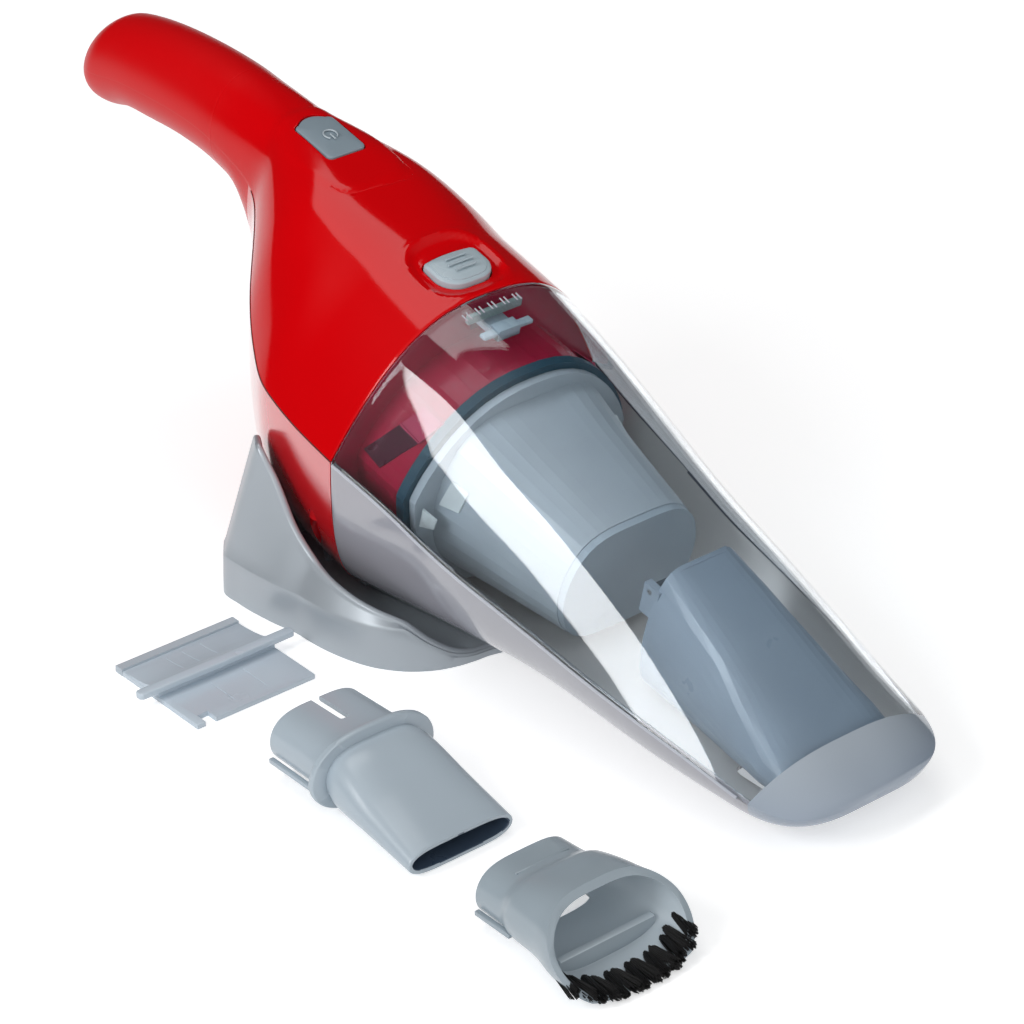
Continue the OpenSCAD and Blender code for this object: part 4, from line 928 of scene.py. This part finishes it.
def collar_skin(place, x0, thick, half, height, middle, power, bore):
    """An oval flange: round outside, flat faces, closed down to its bore."""
    rows = [(0, bore), (0, 0.98), (thick * 0.15, 1), (thick * 0.85, 1), (thick, 0.98), (thick, bore)]

    def skin(s, t):
        x, share = rows[round(t * (len(rows) - 1))]
        return place(x0 + x, *ring(half * share, height * share if share > bore else height * bore * 0.96,
                                   middle if share > bore else middle - 0.5, power, math.tau * (s % 1)))

    return laid("collar", 96, len(rows) - 1, skin)


def lined(piece, axis_y, axis_z, inside):
    """Gives the faces that look towards the bore a second material, painted with the light and shade that
    fall inside.
    """
    piece.data.materials.append(inside)
    for face in piece.data.polygons:
        inwards = Vector((0, axis_y / 1000 - face.center.y, axis_z / 1000 - face.center.z))
        if face.normal.dot(inwards) > 0.3 * inwards.length:
            face.material_index = 1


collar = collar_skin(on_crevice, 29.5, 2.6, 26, 14.5, 14.5, 2.7, 0.74)
edged(collar, 0.0007, segments=3)
side_ribs = [block("side_rib", (1, side * 19.8 - 1, 6.5), (28, 2, 1.8), 0.4, on_crevice) for side in (-1, 1)]
crevice = joined("crevice_nozzle_body", crevice, collar, *side_ribs)
fitted(crevice, "crevice", "grey_nozzle", nozzle_abs, "crevice_nozzle", angle=40)
# Painted shade: the faces in the bore are a darker blue grey.
lined(crevice, -114, 6, moulded("abs_satin_bore_painted_shade", "#46566A", 0.3, shade=0.1, **tool_grain))


# ---- Brush nozzle ------------------------------------------------------------------------
# A wide slanting mouth on the same spigot, with a bar across it inside and a row of
# black nylon tufts pressed into the lower lip.

on_brush = laid_down(168, -115)
brush_table = [(0, 19.5, 10, 11, 3.8), (12, 20, 10.4, 11.4, 3.8), (18, 22, 12.2, 12.6, 3.6),
               (32, 24, 13.5, 13.9, 3.4), (46, 27.5, 14, 14, 3.2), (58, 28, 14, 14, 3.2)]
brush = laid("brush_nozzle_body", 132, 70, nozzle_skin(brush_table, on_brush, 0, 58))
worked(brush, "SOLIDIFY", thickness=0.0023, offset=-1)
# The mouth is sawn off at a slant, from a lip low in front.
lean = math.radians(44)
lip_x, lip_z, reach = 58, 3, 60
saw_outline = [(lip_x + reach * math.cos(lean), lip_z + reach * math.sin(lean)), (lip_x, lip_z),
               (lip_x - reach * math.sin(lean), lip_z + reach * math.cos(lean)), (110, 80)]
cut(brush, prism("saw", saw_outline, -60, 60, lambda x, z, y: on_brush(x, y, z)),
    block("catch_tool", (-1, -15.5, -1), (18, 31, 6), 1.5, on_brush))
edged(brush, 0.0007, segments=3)
ledge = block("mouth_ledge", (39, -20, 1), (2.6, 40, 8), 0.5, on_brush)
brush_ribs = [block("side_rib", (1, side * 19.9 - 1, 5), (17, 2, 1.8), 0.4, on_brush) for side in (-1, 1)]
step = block("spigot_step", (9, -11, 20.6), (1.2, 22, 1.0), 0.3, on_brush)
brush = joined("brush_nozzle_body", brush, ledge, step, *brush_ribs)
# Satin ABS, a little darker than the other nozzles.
brush_abs = moulded("abs_satin_mid_grey", "#A3B0B9", 0.25, shade=0.06, **tool_grain)
fitted(brush, "brush", "grey_nozzle", brush_abs, "brush_body", angle=40)
# Painted light: the inside of the wide mouth is paler, as if lit from its floor.
lined(brush, -115, 13, moulded("abs_satin_mouth_painted_light", "#C6D2DA", 0.3, shade=0.08, **tool_grain))

# Crimped nylon bristles: black with small glints; each tuft of a few dozen coarse strands
# spreads from its root and comes together in a ragged point.
chance = random.Random(7)
bpy.ops.object.select_all(action="DESELECT")
bpy.ops.mesh.primitive_cone_add(vertices=5, radius1=1, radius2=0.5, depth=1, location=(0, 0, 0.5))
strand = bpy.context.object
tufts_in_row, strands_in_tuft, strand_radius = 13, 60, 0.36
tuft_points, tuft_faces = [], []
for i in range(tufts_in_row):
    share = 2 * i / (tufts_in_row - 1) - 1
    side = abs(share) ** 3
    root_x, root_y, root_z = 55.5 - 5.5 * side, share * 24.5, 2.6 + 5.4 * side
    aside = 0.14 if i % 2 else -0.1
    for k in range(strands_in_tuft):
        turn, far = chance.uniform(0, math.tau), math.sqrt(chance.random())
        dy, dz = 2.1 * far * math.cos(turn), 1.8 * far * math.sin(turn)
        length = 12.8 - 4.4 * far ** 2 + chance.uniform(-0.7, 0.5)
        base = len(tuft_points)
        for vertex in strand.data.vertices:
            along = vertex.co.z
            gather = 1 + 0.9 * along - 1.5 * along ** 3
            tuft_points.append(on_brush(
                root_x + length * along,
                root_y + dy * gather + aside * length * along + vertex.co.x * strand_radius,
                max(0.4, root_z + dz * gather - 0.12 * length * along * (1 + 0.6 * side)
                    + vertex.co.y * strand_radius)))
        tuft_faces += [[base + n for n in face.vertices] for face in strand.data.polygons]
bpy.data.objects.remove(strand)
tuft_mesh = bpy.data.meshes.new("bristle_tufts")
tuft_mesh.from_pydata(tuft_points, [], tuft_faces)
tufts = bpy.data.objects.new("bristle_tufts", tuft_mesh)
bpy.context.scene.collection.objects.link(tufts)
bristle_nylon = moulded("nylon_black_bristle", "#060607", 0.45, Specular_IOR_Level=0.25)
fitted(tufts, "brush", "bristle_black", bristle_nylon, "brush_bristles", angle=60)


# ---- Floor, lamps and world --------------------------------------------------------------
# A pale paper floor that also shows as white in gloss and glass, a soft box on the near
# side, a wide dim one overhead and a surround that is bright beyond the nose.

bpy.ops.object.select_all(action="DESELECT")
bpy.ops.mesh.primitive_plane_add(size=30.0, location=(0, 0, 0))
floor = bpy.context.object
floor.name = "floor"
floor_finish, tree, shader, _ = new_material("paper_white", Base_Color=linear("#F4F5F6"), Roughness=0.9)
ray = add(tree, "ShaderNodeLightPath")
seen = add(tree, "ShaderNodeMath", {"operation": "MAXIMUM"}, _0=ray.outputs["Is Camera Ray"],
           _1=ray.outputs["Is Glossy Ray"])
seen = add(tree, "ShaderNodeMath", {"operation": "MAXIMUM"}, _0=seen.outputs["Value"],
           _1=ray.outputs["Is Transmission Ray"])
lift = add(tree, "ShaderNodeMath", {"operation": "MULTIPLY", 1: 0.5}, _0=seen.outputs["Value"])
glow = add(tree, "ShaderNodeEmission", {"Color": (1, 1, 1, 1)}, Strength=lift.outputs["Value"])
both = add(tree, "ShaderNodeAddShader", _0=shader.outputs["BSDF"], _1=glow.outputs["Emission"])
tree.links.new(both.outputs["Shader"], tree.nodes["Material Output"].inputs["Surface"])
floor.data.materials.append(floor_finish)

# The surround is bright on the nose side and dim elsewhere, so the red body mirrors little of it.
world = bpy.data.worlds.new("studio")
bpy.context.scene.world = world
world.use_nodes = True
tree = world.node_tree
way = add(tree, "ShaderNodeTexCoord")
towards = add(tree, "ShaderNodeVectorMath", {"operation": "DOT_PRODUCT", 1: (0.85, -0.45, 0.25)},
              _0=way.outputs["Generated"])
level = add(tree, "ShaderNodeMapRange",
            {"From Min": -0.1, "From Max": 1.0, "To Min": 0.03, "To Max": 1.05,
             "interpolation_type": "SMOOTHSTEP"}, Value=towards.outputs["Value"])
tree.links.new(level.outputs["Result"], tree.nodes["Background"].inputs["Strength"])
tree.nodes["Background"].inputs["Color"].default_value = (1, 1, 1, 1)


def lamp(name, place, aim, size, glow):
    """An area lamp of an even brightness, given as what white paper in it would show."""
    light = bpy.data.lights.new(name, "AREA")
    light.shape = "RECTANGLE"
    light.size, light.size_y = size
    light.energy = glow * math.pi * size[0] * size[1]
    carrier = bpy.data.objects.new(name, light)
    bpy.context.scene.collection.objects.link(carrier)
    carrier.location = place
    carrier.rotation_euler = (Vector(aim) - Vector(place)).to_track_quat("-Z", "Y").to_euler()


lamp("soft_box_near", (-0.08, -1.275, 0.885), (0.1, 0, 0.06), (0.5, 0.56), 8.3)
lamp("soft_box_top", (-0.42, 0.02, 1.5), (-0.05, 0, 0.1), (1.15, 0.5), 2.4)

bpy.context.scene.view_settings.view_transform = "Standard"
